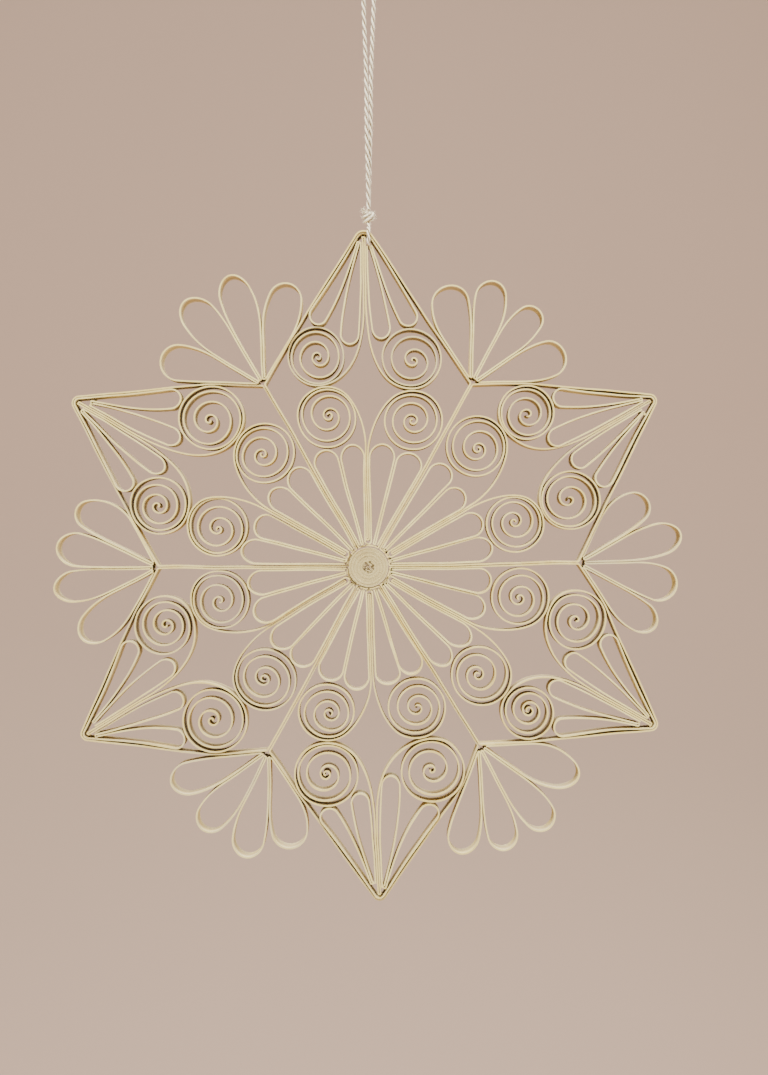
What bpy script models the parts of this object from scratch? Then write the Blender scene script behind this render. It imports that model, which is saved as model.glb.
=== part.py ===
"""Quilled paper ornament: six points of rolled and folded paper strips round a tight roll, on a thread.

Units are metres, +Z is up and the front faces -Y. The origin is under the crown of the thread loop,
where whatever holds the ornament up bears on it.
"""

import math

import bmesh
import bpy
import numpy as np
from mathutils import Vector

# The paper strip that everything is made from
STRIP_DEPTH = 0.008
STRIP_THICKNESS = 0.0005
STRIP_GAP = 0.00012

# The star: reaches are measured from the centre of the tight roll
POINTS = 6
POINT_REACH = 0.1005
NOTCH_REACH = 0.063
HUB_RADIUS = 0.0061
HUB_EYE_RADIUS = 0.0009
TIP_RADIUS = 0.002
CORNER_RADIUS = 0.0008

# The loose coils that end each scroll
HUB_COIL_RADIUS = 0.0093
TIP_COIL_RADIUS = 0.0092
TIP_COIL_OFFSET = 0.0153
COIL_LOOSENESS = 0.003
COIL_EYE_RADIUS = 0.0016

# Where each scroll's two legs part, and how they swing out to their coils: the tip scroll's
# legs part at a height above the middle of the inner teardrop
HUB_STEM_REACH = 0.0345
TIP_STEM_RISE = 0.0091
HUB_COIL_START = math.radians(-30)
TIP_COIL_START = math.radians(190)
HUB_LEG_SWING = (0.36, 0.26)
TIP_LEG_SWING = (0.58, 0.26)

# The loops: petals round the hub, teardrops in the tip, fans in the notches
PETAL_REACH = 0.0372
TEAR_RADIUS = 0.00275
INNER_TEAR_OFFSET = 0.0048
FAN_REACH = 0.0318
FAN_LOOP_GAP = 0.0012
FAN_LOOPS = 4
SIDE_BOW = 1.6

# The hanging thread
THREAD_DIAMETER = 0.00125
THREAD_GAP = 0.0002
THREAD_SPACING = 0.0029
LOOP_DROP = 0.075
TIE_LENGTH = 0.0089
KNOT_RADIUS = 0.0016
KNOT_HEIGHT = 0.0039
TAIL_LENGTH = 0.0024
TAIL_RADIUS = 0.00052
TAIL_RISE = 0.0006
TAIL_WAY = (1.0, 0.55, 0.75)

# How finely curves are cut into straight stretches
ARC_SAGITTA = 0.0007
LARGEST_STEP = math.radians(70)
LOOP_STEP = math.radians(58)
ROLL_SIDES = 28

PITCH = STRIP_THICKNESS + STRIP_GAP
SECTOR = math.pi / POINTS

CREAM_PAPER = (0.74, 0.67, 0.49)
PALE_PAPER = (0.78, 0.72, 0.55)
THREAD_COTTON = (0.80, 0.74, 0.60)


def heading(angle):
    return np.array([math.cos(angle), math.sin(angle)])


def left_of(direction):
    return np.array([-direction[1], direction[0]])


def length(vector):
    return float(np.hypot(vector[0], vector[1]))


def mirrored(points):
    """The same points on the other side of the axis, in reverse order."""
    return [np.array([u, -v]) for u, v in reversed(points)]


def solved(fault, low, high):
    """The value between low and high at which fault changes sign."""
    for _ in range(60):
        middle = (low + high) / 2
        if (fault(middle) > 0) == (fault(low) > 0):
            low = middle
        else:
            high = middle
    return (low + high) / 2


def arc(centre, radius, start, end, step=LOOP_STEP):
    """Points along an arc, both ends included."""
    pieces = max(1, math.ceil(abs(end - start) / step - 1e-6))
    return [centre + radius * heading(a) for a in np.linspace(start, end, pieces + 1)]


def swing(start, start_way, end, end_way, handles, pieces):
    """A smooth bend between two directions, without its ends."""
    reach = length(end - start)
    first = start + handles[0] * reach * start_way
    second = end - handles[1] * reach * end_way
    bend = []
    for t in np.linspace(0, 1, pieces + 1)[1:-1]:
        s = 1 - t
        bend.append(s**3 * start + 3 * s * s * t * first + 3 * s * t * t * second + t**3 * end)
    return bend


def corner(before, point, after, radius=CORNER_RADIUS):
    """A bend of the strip at point, its corner taken off."""
    to_before = (before - point) / length(before - point)
    to_after = (after - point) / length(after - point)
    half = math.acos(float(np.clip(to_before @ to_after, -1, 1))) / 2
    back = radius / math.tan(half)
    return [point + back * to_before, point + back * to_after]


def spiral(centre, radius, start, turn):
    """A loose coil from its outer turn in to its eye; turn is 1 anticlockwise and -1 clockwise.

    The outer turn keeps nearly to its radius, and further in each turn is smaller by the looseness.
    """
    half = COIL_LOOSENESS / 2
    turns = 1 + (radius - half - COIL_EYE_RADIUS) / COIL_LOOSENESS
    points = []
    done = 0.0
    while done < turns:
        inward = half * done * done if done < 1 else half + COIL_LOOSENESS * (done - 1)
        here = radius - inward
        points.append(centre + here * heading(start + turn * 2 * math.pi * done))
        step = 2 * math.acos(max(0.5, 1 - ARC_SAGITTA / here))
        done += min(step, LARGEST_STEP) / (2 * math.pi)
    points.append(centre + COIL_EYE_RADIUS * heading(start + turn * 2 * math.pi * turns))
    return points


def landing(root, way, centre, radius, turn):
    """The angle at which a loop's side, which leaves its root along way, comes onto the loop's bulb.

    A side that leaves outside the straight tangent bows back, and meets the bulb as much further round.
    """
    gap = centre - root
    straight = math.atan2(gap[1], gap[0]) - turn * math.asin(radius / length(gap))
    opening = math.remainder(math.atan2(way[1], way[0]) - straight, 2 * math.pi)
    return straight - SIDE_BOW * opening - turn * math.pi / 2


def loop(root_out, way_out, centre, radius, root_back, way_back):
    """A teardrop loop: out from one root, round a bulb, and back to the other root."""
    axis = centre - (root_out + root_back) / 2
    across = root_back - root_out
    turn = 1 if axis[0] * across[1] > axis[1] * across[0] else -1
    start = landing(root_out, way_out, centre, radius, turn)
    end = landing(root_back, way_back, centre, radius, -turn)
    sweep = turn * ((turn * (end - start)) % (2 * math.pi))
    return [root_out] + arc(centre, radius, start, start + sweep) + [root_back]


class Point:
    """The layout of one point of the star: u runs out from the hub, v to the left of it."""

    def __init__(self):
        self.ray = heading(SECTOR)
        self.inward = -left_of(self.ray)
        self.petal_root = max(HUB_RADIUS + 2.5 * PITCH, 3 * PITCH / math.sin(SECTOR / 2))
        self.petal_radius = solved(self.petal_fault, PITCH, PETAL_REACH / 2)
        self.petal_distance = PETAL_REACH - STRIP_THICKNESS / 2 - self.petal_radius
        self.petal_angle = math.asin((1.5 * PITCH + self.petal_radius) / self.petal_distance)
        self.hub_coil = self.hub_coil_centre()
        self.tip_coil = self.tip_coil_centre()
        self.tip_centre = np.array([POINT_REACH - STRIP_THICKNESS / 2 - TIP_RADIUS, 0.0])
        self.edge_angle = self.edge_slope()
        self.notch = NOTCH_REACH * self.ray + PITCH / 2 * self.inward
        self.shoulder = self.edge_bend()
        self.apex = self.tip_centre + np.array([TIP_RADIUS / math.sin(-self.edge_angle), 0.0])
        self.tie = self.tie_place()
        self.inner_tear = self.inner_tear_centre()

    def petal_fault(self, radius):
        distance = PETAL_REACH - STRIP_THICKNESS / 2 - radius
        angle = math.asin(min(1.0, (1.5 * PITCH + radius) / distance))
        return 2 * distance * math.sin(SECTOR / 2 - angle) - 2 * radius - PITCH

    def petal_centre(self, angle):
        return self.petal_distance * heading(angle)

    def hub_coil_centre(self):
        """It touches the frame along the ray, and the outer petal."""
        off_ray = (1.5 * PITCH + HUB_COIL_RADIUS) * self.inward
        petal = self.petal_centre(SECTOR - self.petal_angle)
        apart = HUB_COIL_RADIUS + self.petal_radius + PITCH
        along = (petal - off_ray) @ self.ray
        aside = (petal - off_ray) @ self.inward
        return off_ray + (along + math.sqrt(apart**2 - aside**2)) * self.ray

    def tip_coil_centre(self):
        """It touches the coil nearer the hub, at its own distance from the axis."""
        apart = HUB_COIL_RADIUS + TIP_COIL_RADIUS + PITCH
        aside = TIP_COIL_OFFSET - self.hub_coil[1]
        return np.array([self.hub_coil[0] + math.sqrt(apart**2 - aside**2), TIP_COIL_OFFSET])

    def edge_slope(self):
        """The angle of the frame's outer edge, from the coil that it passes round to the tip."""
        gap = self.tip_centre - self.tip_coil
        narrowing = math.asin((TIP_COIL_RADIUS + PITCH - TIP_RADIUS) / length(gap))
        return math.atan2(gap[1], gap[0]) - narrowing

    def edge_bend(self):
        """Where the frame's edge turns a little as it passes round the tip coil."""
        out = self.tip_coil - self.notch
        slope = math.atan2(out[1], out[0])
        slope += math.asin((TIP_COIL_RADIUS + PITCH) / length(out))
        self.notch_angle = slope
        first = heading(slope)
        second = heading(self.edge_angle)
        touch = self.tip_coil + (TIP_COIL_RADIUS + PITCH) * left_of(second)
        across = first[0] * second[1] - first[1] * second[0]
        offset = touch - self.notch
        along = (offset[0] * second[1] - offset[1] * second[0]) / across
        return self.notch + along * first

    def inner_tear_centre(self):
        """The bulb of the inner teardrop rests on the tip coil."""
        reach = TIP_COIL_RADIUS + TEAR_RADIUS + PITCH
        aside = TIP_COIL_OFFSET - INNER_TEAR_OFFSET
        return np.array([self.tip_coil[0] + math.sqrt(reach**2 - aside**2), INNER_TEAR_OFFSET])

    def tie_place(self):
        """Where the thread passes through the tip: beside the stem, under the strips of the right edge."""
        aside = PITCH / 2 + STRIP_THICKNESS / 2 + THREAD_GAP + THREAD_DIAMETER / 2
        off_edge = PITCH + STRIP_THICKNESS / 2 + THREAD_GAP + THREAD_DIAMETER / 2
        below = (off_edge + aside * math.cos(self.edge_angle)) / math.sin(-self.edge_angle)
        return np.array([self.apex[0] - below, -aside])


def frame_path(point):
    """The outer strip of a point, a closed loop from the hub out to the tip and back."""
    hub_radius = HUB_RADIUS + STRIP_GAP + STRIP_THICKNESS / 2
    hub_angle = SECTOR - math.asin(PITCH / 2 / hub_radius)
    hub_corner = hub_radius * heading(hub_angle)
    hub_arc = arc(np.zeros(2), hub_radius, 0, hub_angle, hub_angle / 2)[:-1]
    tip_angle = point.edge_angle + math.pi / 2
    tip = arc(point.tip_centre, TIP_RADIUS, tip_angle, -tip_angle)
    side = hub_arc[1:] + corner(hub_arc[-1], hub_corner, point.notch, CORNER_RADIUS / 2)
    side += corner(hub_corner, point.notch, point.shoulder)
    side.append(point.shoulder)
    return hub_arc[:1] + side + tip + mirrored(side)


def petal_path(point):
    """One strip folded into four petals at the hub, passing round the foot of the scroll."""
    middle = heading(SECTOR / 2)
    aside = left_of(middle)
    inner_root = point.petal_root * middle - PITCH / 2 * aside
    outer_root = point.petal_root * middle + PITCH / 2 * aside
    end = point.petal_root * point.ray + 1.5 * PITCH * point.inward
    stem_root = np.array([point.petal_root + PITCH, 1.5 * PITCH])
    outer = point.petal_centre(SECTOR - point.petal_angle)
    inner = point.petal_centre(point.petal_angle)
    half = loop(end, point.ray, outer, point.petal_radius, outer_root, middle)
    half += loop(inner_root, middle, inner, point.petal_radius, stem_root, heading(0))
    round_stem = arc(np.array([stem_root[0], 0.0]), stem_root[1], math.pi / 2, 3 * math.pi / 2)
    return half + round_stem[1:-1] + mirrored(half)


def tear_path(point):
    """One strip folded into four teardrops in the tip, passing over under the frame's arch."""
    edge = heading(point.edge_angle)
    outward = left_of(edge)
    middle = heading(math.pi + point.edge_angle / 2)
    aside = left_of(middle)
    crowding = 3 * PITCH / math.sin(-point.edge_angle / 2)
    root = point.apex + (crowding + THREAD_DIAMETER) * middle
    inner_root = root + PITCH / 2 * aside
    outer_root = root - PITCH / 2 * aside
    apart = TIP_COIL_RADIUS + TEAR_RADIUS + PITCH
    along = math.sqrt(apart**2 - (TIP_COIL_RADIUS - TEAR_RADIUS) ** 2)
    outer = point.tip_coil + along * edge + (TIP_COIL_RADIUS - TEAR_RADIUS) * outward
    tip_angle = point.edge_angle + math.pi / 2
    arch = arc(point.tip_centre, TIP_RADIUS - PITCH, tip_angle, -tip_angle)
    end = np.array([root[0], 1.5 * PITCH])
    half = loop(end, heading(math.pi), point.inner_tear, TEAR_RADIUS, inner_root, middle)
    half += loop(outer_root, middle, outer, TEAR_RADIUS, arch[0], -edge)[:-1]
    return half + arch + mirrored(half)


def hub_scroll_path(point):
    """A strip folded at the hub: out along the axis, then each leg swings over into a coil."""
    foot = np.array([point.petal_root + 1.5 * PITCH, PITCH / 2])
    parting = np.array([HUB_STEM_REACH, PITCH / 2])
    coil = spiral(point.hub_coil, HUB_COIL_RADIUS, HUB_COIL_START, 1)
    way = left_of(heading(HUB_COIL_START))
    leg = [foot, parting] + swing(parting, heading(0), coil[0], way, HUB_LEG_SWING, 3) + coil
    return leg[::-1] + mirrored(leg)[::-1]


def tip_scroll_path(point):
    """A strip folded in the tip: back along the axis, then each leg swings under into a coil."""
    head = np.array([point.tip_centre[0] + TIP_RADIUS - 3 * PITCH, PITCH / 2])
    parting = np.array([point.inner_tear[0] + TIP_STEM_RISE, PITCH / 2])
    coil = spiral(point.tip_coil, TIP_COIL_RADIUS, TIP_COIL_START, -1)
    way = -left_of(heading(TIP_COIL_START))
    leg = [head, parting] + swing(parting, heading(math.pi), coil[0], way, TIP_LEG_SWING, 4) + coil
    return leg[::-1] + mirrored(leg)[::-1]


def fan_path(point):
    """One strip bent into a fan of loops in a notch, laid out with u along the ray between two points."""
    spread = SECTOR - point.notch_angle
    share = spread / FAN_LOOPS
    start = np.array([NOTCH_REACH - PITCH / 2 / math.tan(spread), 0.0])
    root = max(2 * PITCH / math.sin(share), 2.5 * PITCH / math.sin(2 * share)) / 2 + PITCH
    reach = FAN_REACH - STRIP_THICKNESS / 2
    radius = (reach * math.sin(share) - FAN_LOOP_GAP) / (1 + math.sin(share))
    path = []
    for i in range(FAN_LOOPS):
        low = -spread + 2 * share * i
        high = low + 2 * share
        low_root = start + root * heading(low) + (PITCH if i == 0 else PITCH / 2) * left_of(heading(low))
        last = i == FAN_LOOPS - 1
        high_root = start + root * heading(high) - (PITCH if last else PITCH / 2) * left_of(heading(high))
        centre = start + (reach - radius) * heading((low + high) / 2)
        path += loop(low_root, heading(low), centre, radius, high_root, heading(high))
    return path


def placed(path, angle):
    """Takes a path laid out along +u to its place in the star, as 3-D points at the strip's front edge."""
    turned = angle + math.pi / 2
    out = heading(turned)
    side = left_of(out)
    return [(*(u * out + v * side), 0.0) for u, v in path]


def paper(name, colour):
    material = bpy.data.materials.new(name)
    material.use_nodes = True
    shader = material.node_tree.nodes["Principled BSDF"]
    shader.inputs["Base Color"].default_value = (*colour, 1)
    shader.inputs["Roughness"].default_value = 0.85
    shader.inputs["Metallic"].default_value = 0
    return material


def add_object(name, data, material):
    data.materials.append(material)
    made = bpy.data.objects.new(name, data)
    bpy.context.scene.collection.objects.link(made)
    return made


def strip(name, path, closed, material, star):
    """A paper strip standing on edge along a path: a ribbon extruded to its depth, then thickened."""
    mesh = bpy.data.meshes.new(name)
    ribbon = bmesh.new()
    front = [ribbon.verts.new((x, -STRIP_DEPTH / 2, z)) for x, z, _ in path]
    edges = [ribbon.edges.new(pair) for pair in zip(front, front[1:])]
    if closed:
        edges.append(ribbon.edges.new((front[-1], front[0])))
    made = bmesh.ops.extrude_edge_only(ribbon, edges=edges)
    back = [v for v in made["geom"] if isinstance(v, bmesh.types.BMVert)]
    bmesh.ops.translate(ribbon, vec=(0, STRIP_DEPTH, 0), verts=back)
    ribbon.to_mesh(mesh)
    ribbon.free()
    made = add_object(name, mesh, material)
    made.parent = star
    thick = made.modifiers.new("Thickness", "SOLIDIFY")
    thick.thickness = STRIP_THICKNESS
    thick.offset = 0
    thick.use_even_offset = True
    return made


def tight_roll(material, star):
    """The hub: a strip rolled tight, its outer turn ending in a step as deep as the strip is thick."""
    mesh = bpy.data.meshes.new("hub_roll")
    roll = bmesh.new()
    outer = []
    inner = []
    for i in range(ROLL_SIDES + 1):
        angle = 2 * math.pi * i / ROLL_SIDES
        radius = HUB_RADIUS - STRIP_THICKNESS * (1 - i / ROLL_SIDES)
        outer.append(roll.verts.new((*placed_at(radius, angle), -STRIP_DEPTH / 2)))
        if i < ROLL_SIDES:
            inner.append(roll.verts.new((*placed_at(HUB_EYE_RADIUS, angle), -STRIP_DEPTH / 2)))
    faces = [roll.faces.new((outer[i], outer[i + 1], inner[i + 1], inner[i])) for i in range(ROLL_SIDES - 1)]
    faces.append(roll.faces.new((outer[-2], outer[-1], outer[0], inner[0], inner[-1])))
    made = bmesh.ops.extrude_face_region(roll, geom=faces)
    top = [v for v in made["geom"] if isinstance(v, bmesh.types.BMVert)]
    bmesh.ops.translate(roll, vec=(0, 0, STRIP_DEPTH), verts=top)
    bmesh.ops.recalc_face_normals(roll, faces=roll.faces)
    roll.to_mesh(mesh)
    roll.free()
    made = add_object("hub_roll", mesh, material)
    made.rotation_euler = (math.pi / 2, 0, 0)
    made.parent = star
    return made


def placed_at(radius, angle):
    return radius * heading(angle)


def smooth_route(stations, spacing):
    """Points at an even spacing along a smooth curve through the stations."""
    rows = [np.array(s, float) for s in stations]
    rows = [2 * rows[0] - rows[1]] + rows + [2 * rows[-1] - rows[-2]]
    fine = []
    for a, b, c, d in zip(rows, rows[1:], rows[2:], rows[3:]):
        for t in np.linspace(0, 1, 16, endpoint=False):
            cubic = (3 * b - a - 3 * c + d) * t**3
            square = (2 * a - 5 * b + 4 * c - d) * t**2
            fine.append(0.5 * (2 * b + (c - a) * t + square + cubic))
    fine.append(rows[-2])
    fine = np.array(fine)
    run = np.concatenate([[0], np.cumsum(np.linalg.norm(np.diff(fine, axis=0), axis=1))])
    marks = np.linspace(0, run[-1], max(2, round(run[-1] / spacing)) + 1)
    return [[float(np.interp(m, run, fine[:, k])) for k in range(3)] for m in marks]


def thread(name, stations, spacing, material):
    """A length of thread as a round tube with closed ends."""
    curve = bpy.data.curves.new(name, "CURVE")
    curve.dimensions = "3D"
    points = smooth_route(stations, spacing)
    line = curve.splines.new("POLY")
    line.points.add(len(points) - 1)
    for place, point in zip(line.points, points):
        place.co = (*point, 1)
    curve.bevel_depth = THREAD_DIAMETER / 2
    curve.bevel_resolution = 2
    curve.use_fill_caps = True
    return add_object(name, curve, material)


def loop_stations():
    """The hanging loop: up from the knot, over whatever holds it, and back down beside itself.

    The two strands leave the knot one behind the other and turn side by side on the way up.
    """
    half = (THREAD_DIAMETER + THREAD_GAP) / 2
    crown = THREAD_DIAMETER / 2
    foot = -LOOP_DROP + KNOT_HEIGHT / 2 + THREAD_GAP
    wide = THREAD_SPACING / 2
    rise = -foot
    left = [
        (0.0, -half, foot),
        (-0.3 * half, -half, foot + 0.14 * rise),
        (-0.8 * half, -0.8 * half, foot + 0.34 * rise),
        (-half, -0.2 * half, foot + 0.55 * rise),
        (-wide, 0.0, foot + 0.82 * rise),
        (-1.12 * wide, 0.0, foot + 0.94 * rise),
        (-0.75 * wide, 0.0, crown - 0.25 * wide),
    ]
    right = [(-x, -y, z) for x, y, z in reversed(left)]
    return left + [(0.0, 0.0, crown)] + right


def tie_stations(under):
    """The tie: from the knot down in front of the tip's strips, under them and up behind."""
    clear = THREAD_DIAMETER / 2 + THREAD_GAP
    front = STRIP_DEPTH / 2 + clear
    top = -LOOP_DROP - KNOT_HEIGHT / 2 - THREAD_GAP
    rise = top - under
    down = [
        (0.0, -0.55 * KNOT_RADIUS, top),
        (0.0, -0.5 * front, top - 0.2 * rise),
        (0.0, -0.95 * front, top - 0.42 * rise),
        (0.0, -front, top - 0.6 * rise),
        (0.0, -front, under + clear),
        (0.0, -front + 0.29 * clear, under + 0.29 * clear),
        (0.0, -front + 1.2 * clear, under),
    ]
    return down + [(0.0, 0.0, under)] + [(x, -y, z) for x, y, z in reversed(down)]


def knot(material):
    """The knot: a barrel of thread turns with two cut tails standing up to the left."""
    mesh = bpy.data.meshes.new("thread_knot")
    ball = bmesh.new()
    bmesh.ops.create_uvsphere(ball, u_segments=10, v_segments=7, radius=1)
    bmesh.ops.scale(ball, vec=(KNOT_RADIUS, KNOT_RADIUS, KNOT_HEIGHT / 2), verts=ball.verts)
    ball.to_mesh(mesh)
    ball.free()
    made = add_object("thread_knot", mesh, material)
    made.location = (0, 0, -LOOP_DROP)
    for side in (-1, 1):
        tail = bpy.data.meshes.new("tail")
        stub = bmesh.new()
        bmesh.ops.create_cone(
            stub, cap_ends=True, segments=6, radius1=TAIL_RADIUS, radius2=TAIL_RADIUS, depth=TAIL_LENGTH
        )
        stub.to_mesh(tail)
        stub.free()
        way = Vector((-TAIL_WAY[0], TAIL_WAY[1] * side, TAIL_WAY[2])).normalized()
        guide = add_object("tail_guide", tail, material)
        guide.rotation_euler = way.to_track_quat("Z", "Y").to_euler()
        guide.location = Vector((0, 0, -LOOP_DROP + TAIL_RISE)) + way * KNOT_RADIUS
        guide.hide_render = True
        guide.display_type = "WIRE"
        joined = made.modifiers.new("Tail", "BOOLEAN")
        joined.operation = "UNION"
        joined.solver = "EXACT"
        joined.object = guide
    return made


def star_centre(tie):
    """The empty that the paper pieces hang from, at the middle of the tight roll, under the thread.

    The thread is tied beside the middle of the tip, so the star hangs turned a little to the left.
    """
    star = bpy.data.objects.new("star_centre", None)
    star.location = (0, 0, -LOOP_DROP - TIE_LENGTH - length(tie))
    star.rotation_euler = (0, math.atan2(tie[1], tie[0]), 0)
    bpy.context.scene.collection.objects.link(star)
    return star


def build():
    for old in list(bpy.data.objects):
        bpy.data.objects.remove(old)
    cream = paper("cream_paper", CREAM_PAPER)
    pale = paper("pale_paper", PALE_PAPER)
    cotton = paper("cotton_thread", THREAD_COTTON)
    point = Point()
    star = star_centre(point.tie)
    layers = (
        ("frame", frame_path(point), True, cream),
        ("petals", petal_path(point), False, pale),
        ("teardrops", tear_path(point), False, pale),
        ("hub_scroll", hub_scroll_path(point), False, cream),
        ("tip_scroll", tip_scroll_path(point), False, cream),
    )
    fan = fan_path(point)
    for i in range(POINTS):
        angle = 2 * SECTOR * i
        for name, path, closed, material in layers:
            strip(f"point_{i + 1}_{name}", placed(path, angle), closed, material, star)
        strip(f"fan_{i + 1}", placed(fan, angle + SECTOR), False, pale, star)
    tight_roll(cream, star)
    thread("hanging_loop", loop_stations(), 3 * THREAD_DIAMETER, cotton)
    thread("tie_thread", tie_stations(-LOOP_DROP - TIE_LENGTH), 1.1 * THREAD_DIAMETER, cotton)
    knot(cotton)


build()
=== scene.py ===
"""Dresses the quilled paper ornament: fine paper strips laid as the solids are, a twisted thread with its
knot, and a plain stage. Units are metres, +Z is up and the front faces -Y.
"""

import math

import bmesh
import bpy
import numpy as np
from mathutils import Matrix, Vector


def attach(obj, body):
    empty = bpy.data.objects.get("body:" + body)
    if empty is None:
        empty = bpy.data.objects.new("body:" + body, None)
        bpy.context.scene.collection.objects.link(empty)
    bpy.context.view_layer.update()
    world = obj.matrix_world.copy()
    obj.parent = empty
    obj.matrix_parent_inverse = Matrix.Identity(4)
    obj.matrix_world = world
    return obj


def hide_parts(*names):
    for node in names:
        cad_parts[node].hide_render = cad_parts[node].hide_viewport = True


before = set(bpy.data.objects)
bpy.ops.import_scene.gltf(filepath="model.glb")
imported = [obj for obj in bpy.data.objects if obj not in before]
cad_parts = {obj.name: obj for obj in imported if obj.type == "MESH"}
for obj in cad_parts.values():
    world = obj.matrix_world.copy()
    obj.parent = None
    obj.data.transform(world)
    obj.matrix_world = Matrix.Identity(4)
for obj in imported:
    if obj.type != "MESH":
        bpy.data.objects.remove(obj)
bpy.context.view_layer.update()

bl_info = {
    "name": "Quilled Paper Ornament",
    "version": (1, 0, 0),
    "blender": (4, 5, 0),
    "location": "View3D > Sidebar > Ornament",
    "description": "Makes a quilled paper star on a thread loop, piece by piece",
    "category": "Object",
}

# The layout of the solids, in metres: the strip's pitch is its thickness and the gap to its neighbour
STRIP_DEPTH = 0.008
STRIP_THICKNESS = 0.0005
PITCH = 0.00062
POINTS = 6
SECTOR = math.pi / POINTS
POINT_REACH = 0.1005
NOTCH_REACH = 0.063
HUB_RADIUS = 0.0061
TIP_RADIUS = 0.002
HUB_COIL_RADIUS = 0.0093
TIP_COIL_RADIUS = 0.0092
TIP_COIL_OFFSET = 0.0153
COIL_EYE_RADIUS = 0.0016
HUB_STEM_REACH = 0.0345
TIP_STEM_RISE = 0.0091
HUB_COIL_START = math.radians(-30)
TIP_COIL_START = math.radians(190)
HUB_LEG_SWING = (0.36, 0.26)
TIP_LEG_SWING = (0.58, 0.26)
PETAL_REACH = 0.0372
TEAR_RADIUS = 0.00275
INNER_TEAR_OFFSET = 0.0048
FAN_LOOPS = 4
SIDE_BOW = 1.6
THREAD_DIAMETER = 0.00125
THREAD_GAP = 0.0002
THREAD_SPACING = 0.0029
LOOP_DROP = 0.075
TIE_LENGTH = 0.0089
KNOT_RADIUS = 0.0016
KNOT_HEIGHT = 0.0039

# The real folds are pressed closer to the hub than the solids' strips can be
HUB_CLOSENESS = 0.00045
FOLD_CLOSENESS = 0.00018

# The turns at the middle of the tight roll have sprung open
HUB_LOOSE_RADIUS = 0.00165

# The roll fills the gap that the solids leave round it
HUB_SPREAD = 0.00006

# The fans' folds reach nearer to the notch than the solids' strips can
FAN_CLOSENESS = 0.72

# The room, in tenths of a millimetre, between a fan's outer loop and the middle of the strip beside it
FAN_ROOM = 7

# The share of a fan loop's length along which it is glued to the next one
FAN_GLUED = 0.52

# The bend of a frame's edge where it passes the tip coil
SHOULDER_RADIUS = 0.035

# A tenth of a millimetre, the unit of the hand-made star's measures
TENTH = 1e-4

# How the hand-made star departs from the drawing, point by point: the turn of its tip in degrees, how much
# longer it is in tenths of a millimetre, the radius of its bend, and the turn of the ray that follows it
TIP_TURNS = (0.0, -0.35, -0.2, 1.0, 0.2, -0.2)
TIP_GROWTH = (6, 17, -4, -3, -15, -3)
TIP_BENDS = (0.0028,) + (POINTS - 1) * (TIP_RADIUS,)
RAY_TURNS = (-1.0, -0.8, 0.8, 1.0, 0.3, -0.4)

# Each point's coils: hub and tip coil on the left, hub and tip coil on the right. Each is how far out it
# sits, how far aside, and its radius, in tenths of a millimetre.
COILS = (
    ((450, 122, 94), (634, 153, 89), (439, 137, 93), (626, 135, 92)),
    ((454, 118, 92), (636, 150, 91), (441, 139, 91), (630, 152, 95)),
    ((442, 127, 94), (635, 155, 96), (435, 139, 89), (622, 156, 91)),
    ((426, 128, 93), (617, 171, 96), (430, 137, 89), (620, 144, 97)),
    ((441, 139, 91), (627, 161, 92), (451, 123, 95), (631, 154, 85)),
    ((463, 146, 93), (644, 157, 84), (443, 114, 89), (625, 139, 92)),
)

# Each fan's loops: how far each leans from the ray in degrees, and its reach and radius in tenths of a
# millimetre
FANS = (
    ((-44, 312, 50), (-13, 332, 48), (13, 334, 52), (45, 321, 54)),
    ((-38, 302, 43), (-13, 305, 50), (12, 309, 46), (42, 308, 50)),
    ((-42, 302, 49), (-12, 308, 46), (16, 321, 47), (44, 302, 53)),
    ((-40, 325, 46), (-16, 321, 44), (10, 323, 47), (41, 301, 53)),
    ((-41, 293, 44), (-15, 305, 52), (15, 307, 47), (43, 286, 46)),
    ((-42, 299, 53), (-12, 303, 42), (17, 318, 46), (44, 310, 55)),
)

# How finely curves are cut here
FINE_STEP = math.radians(7)
LONGEST_PIECE = 0.0018
FOLD_TURN = math.radians(24)
FOLD_STEP = math.radians(18)
ROUTE_PIECES = 16
ROLL_STEP = 12 / 360

# The radius of a strip's folds
FRAME_FOLD = 0.0008
FAN_FOLD = 0.0005
LOOP_FOLD = 0.0004

# How strongly a smooth bend follows the directions at its ends
LOOP_HANDLES = (0.4, 0.3)
SHOULDER_HANDLES = (0.33, 0.33)

# How far a loop strays from the drawing: in length, in lean, and in how pointed it is
OUTER_PETAL_SWAY = (0.004, 0.004, 0.5)
INNER_PETAL_SWAY = (0.03, 0.012, 0.5)
TEAR_SWAY = (0.02, 0.006, 0.3)
FAN_SWAY = (0.0, 0.006, 0.5)

# The outer petals' length as a share of the drawn one, at least and at most
PETAL_SHARES = (0.85, 1.05)

# The least bend of a frame's edge beside the tip coil; below it, the edge is straight
LEAST_BEND = math.radians(0.5)

# The teardrops' folds below the arch, in pitches, and the sag of their outer sides
TEAR_CROWDING = 2.7
TEAR_SLACK = (0.0001, 0.00055)

# A coil's middle: how much narrower its eye and its hook become, the turns over which it comes to sit off its
# centre, and over how many samples its radius is evened out
EYE_NARROWING = 0.4
HOOK_NARROWING = 0.5
DRIFT_START = 0.9
DRIFT_TURNS = 1.1
COIL_EASING = 7

# How far out the points begin to be longer or shorter than drawn, and over what length
GROWTH_START = 0.05
GROWTH_RUN = 0.05

# Each strip's place in depth: how far it stands proud or below, how far it rolls, and its number of rolls
STRIP_SHIFT = 0.0003
STRIP_ROLL = (0.00005, 0.0002)
CLOSED_ROLLS = 3
OPEN_ROLLS = 2.6

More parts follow.
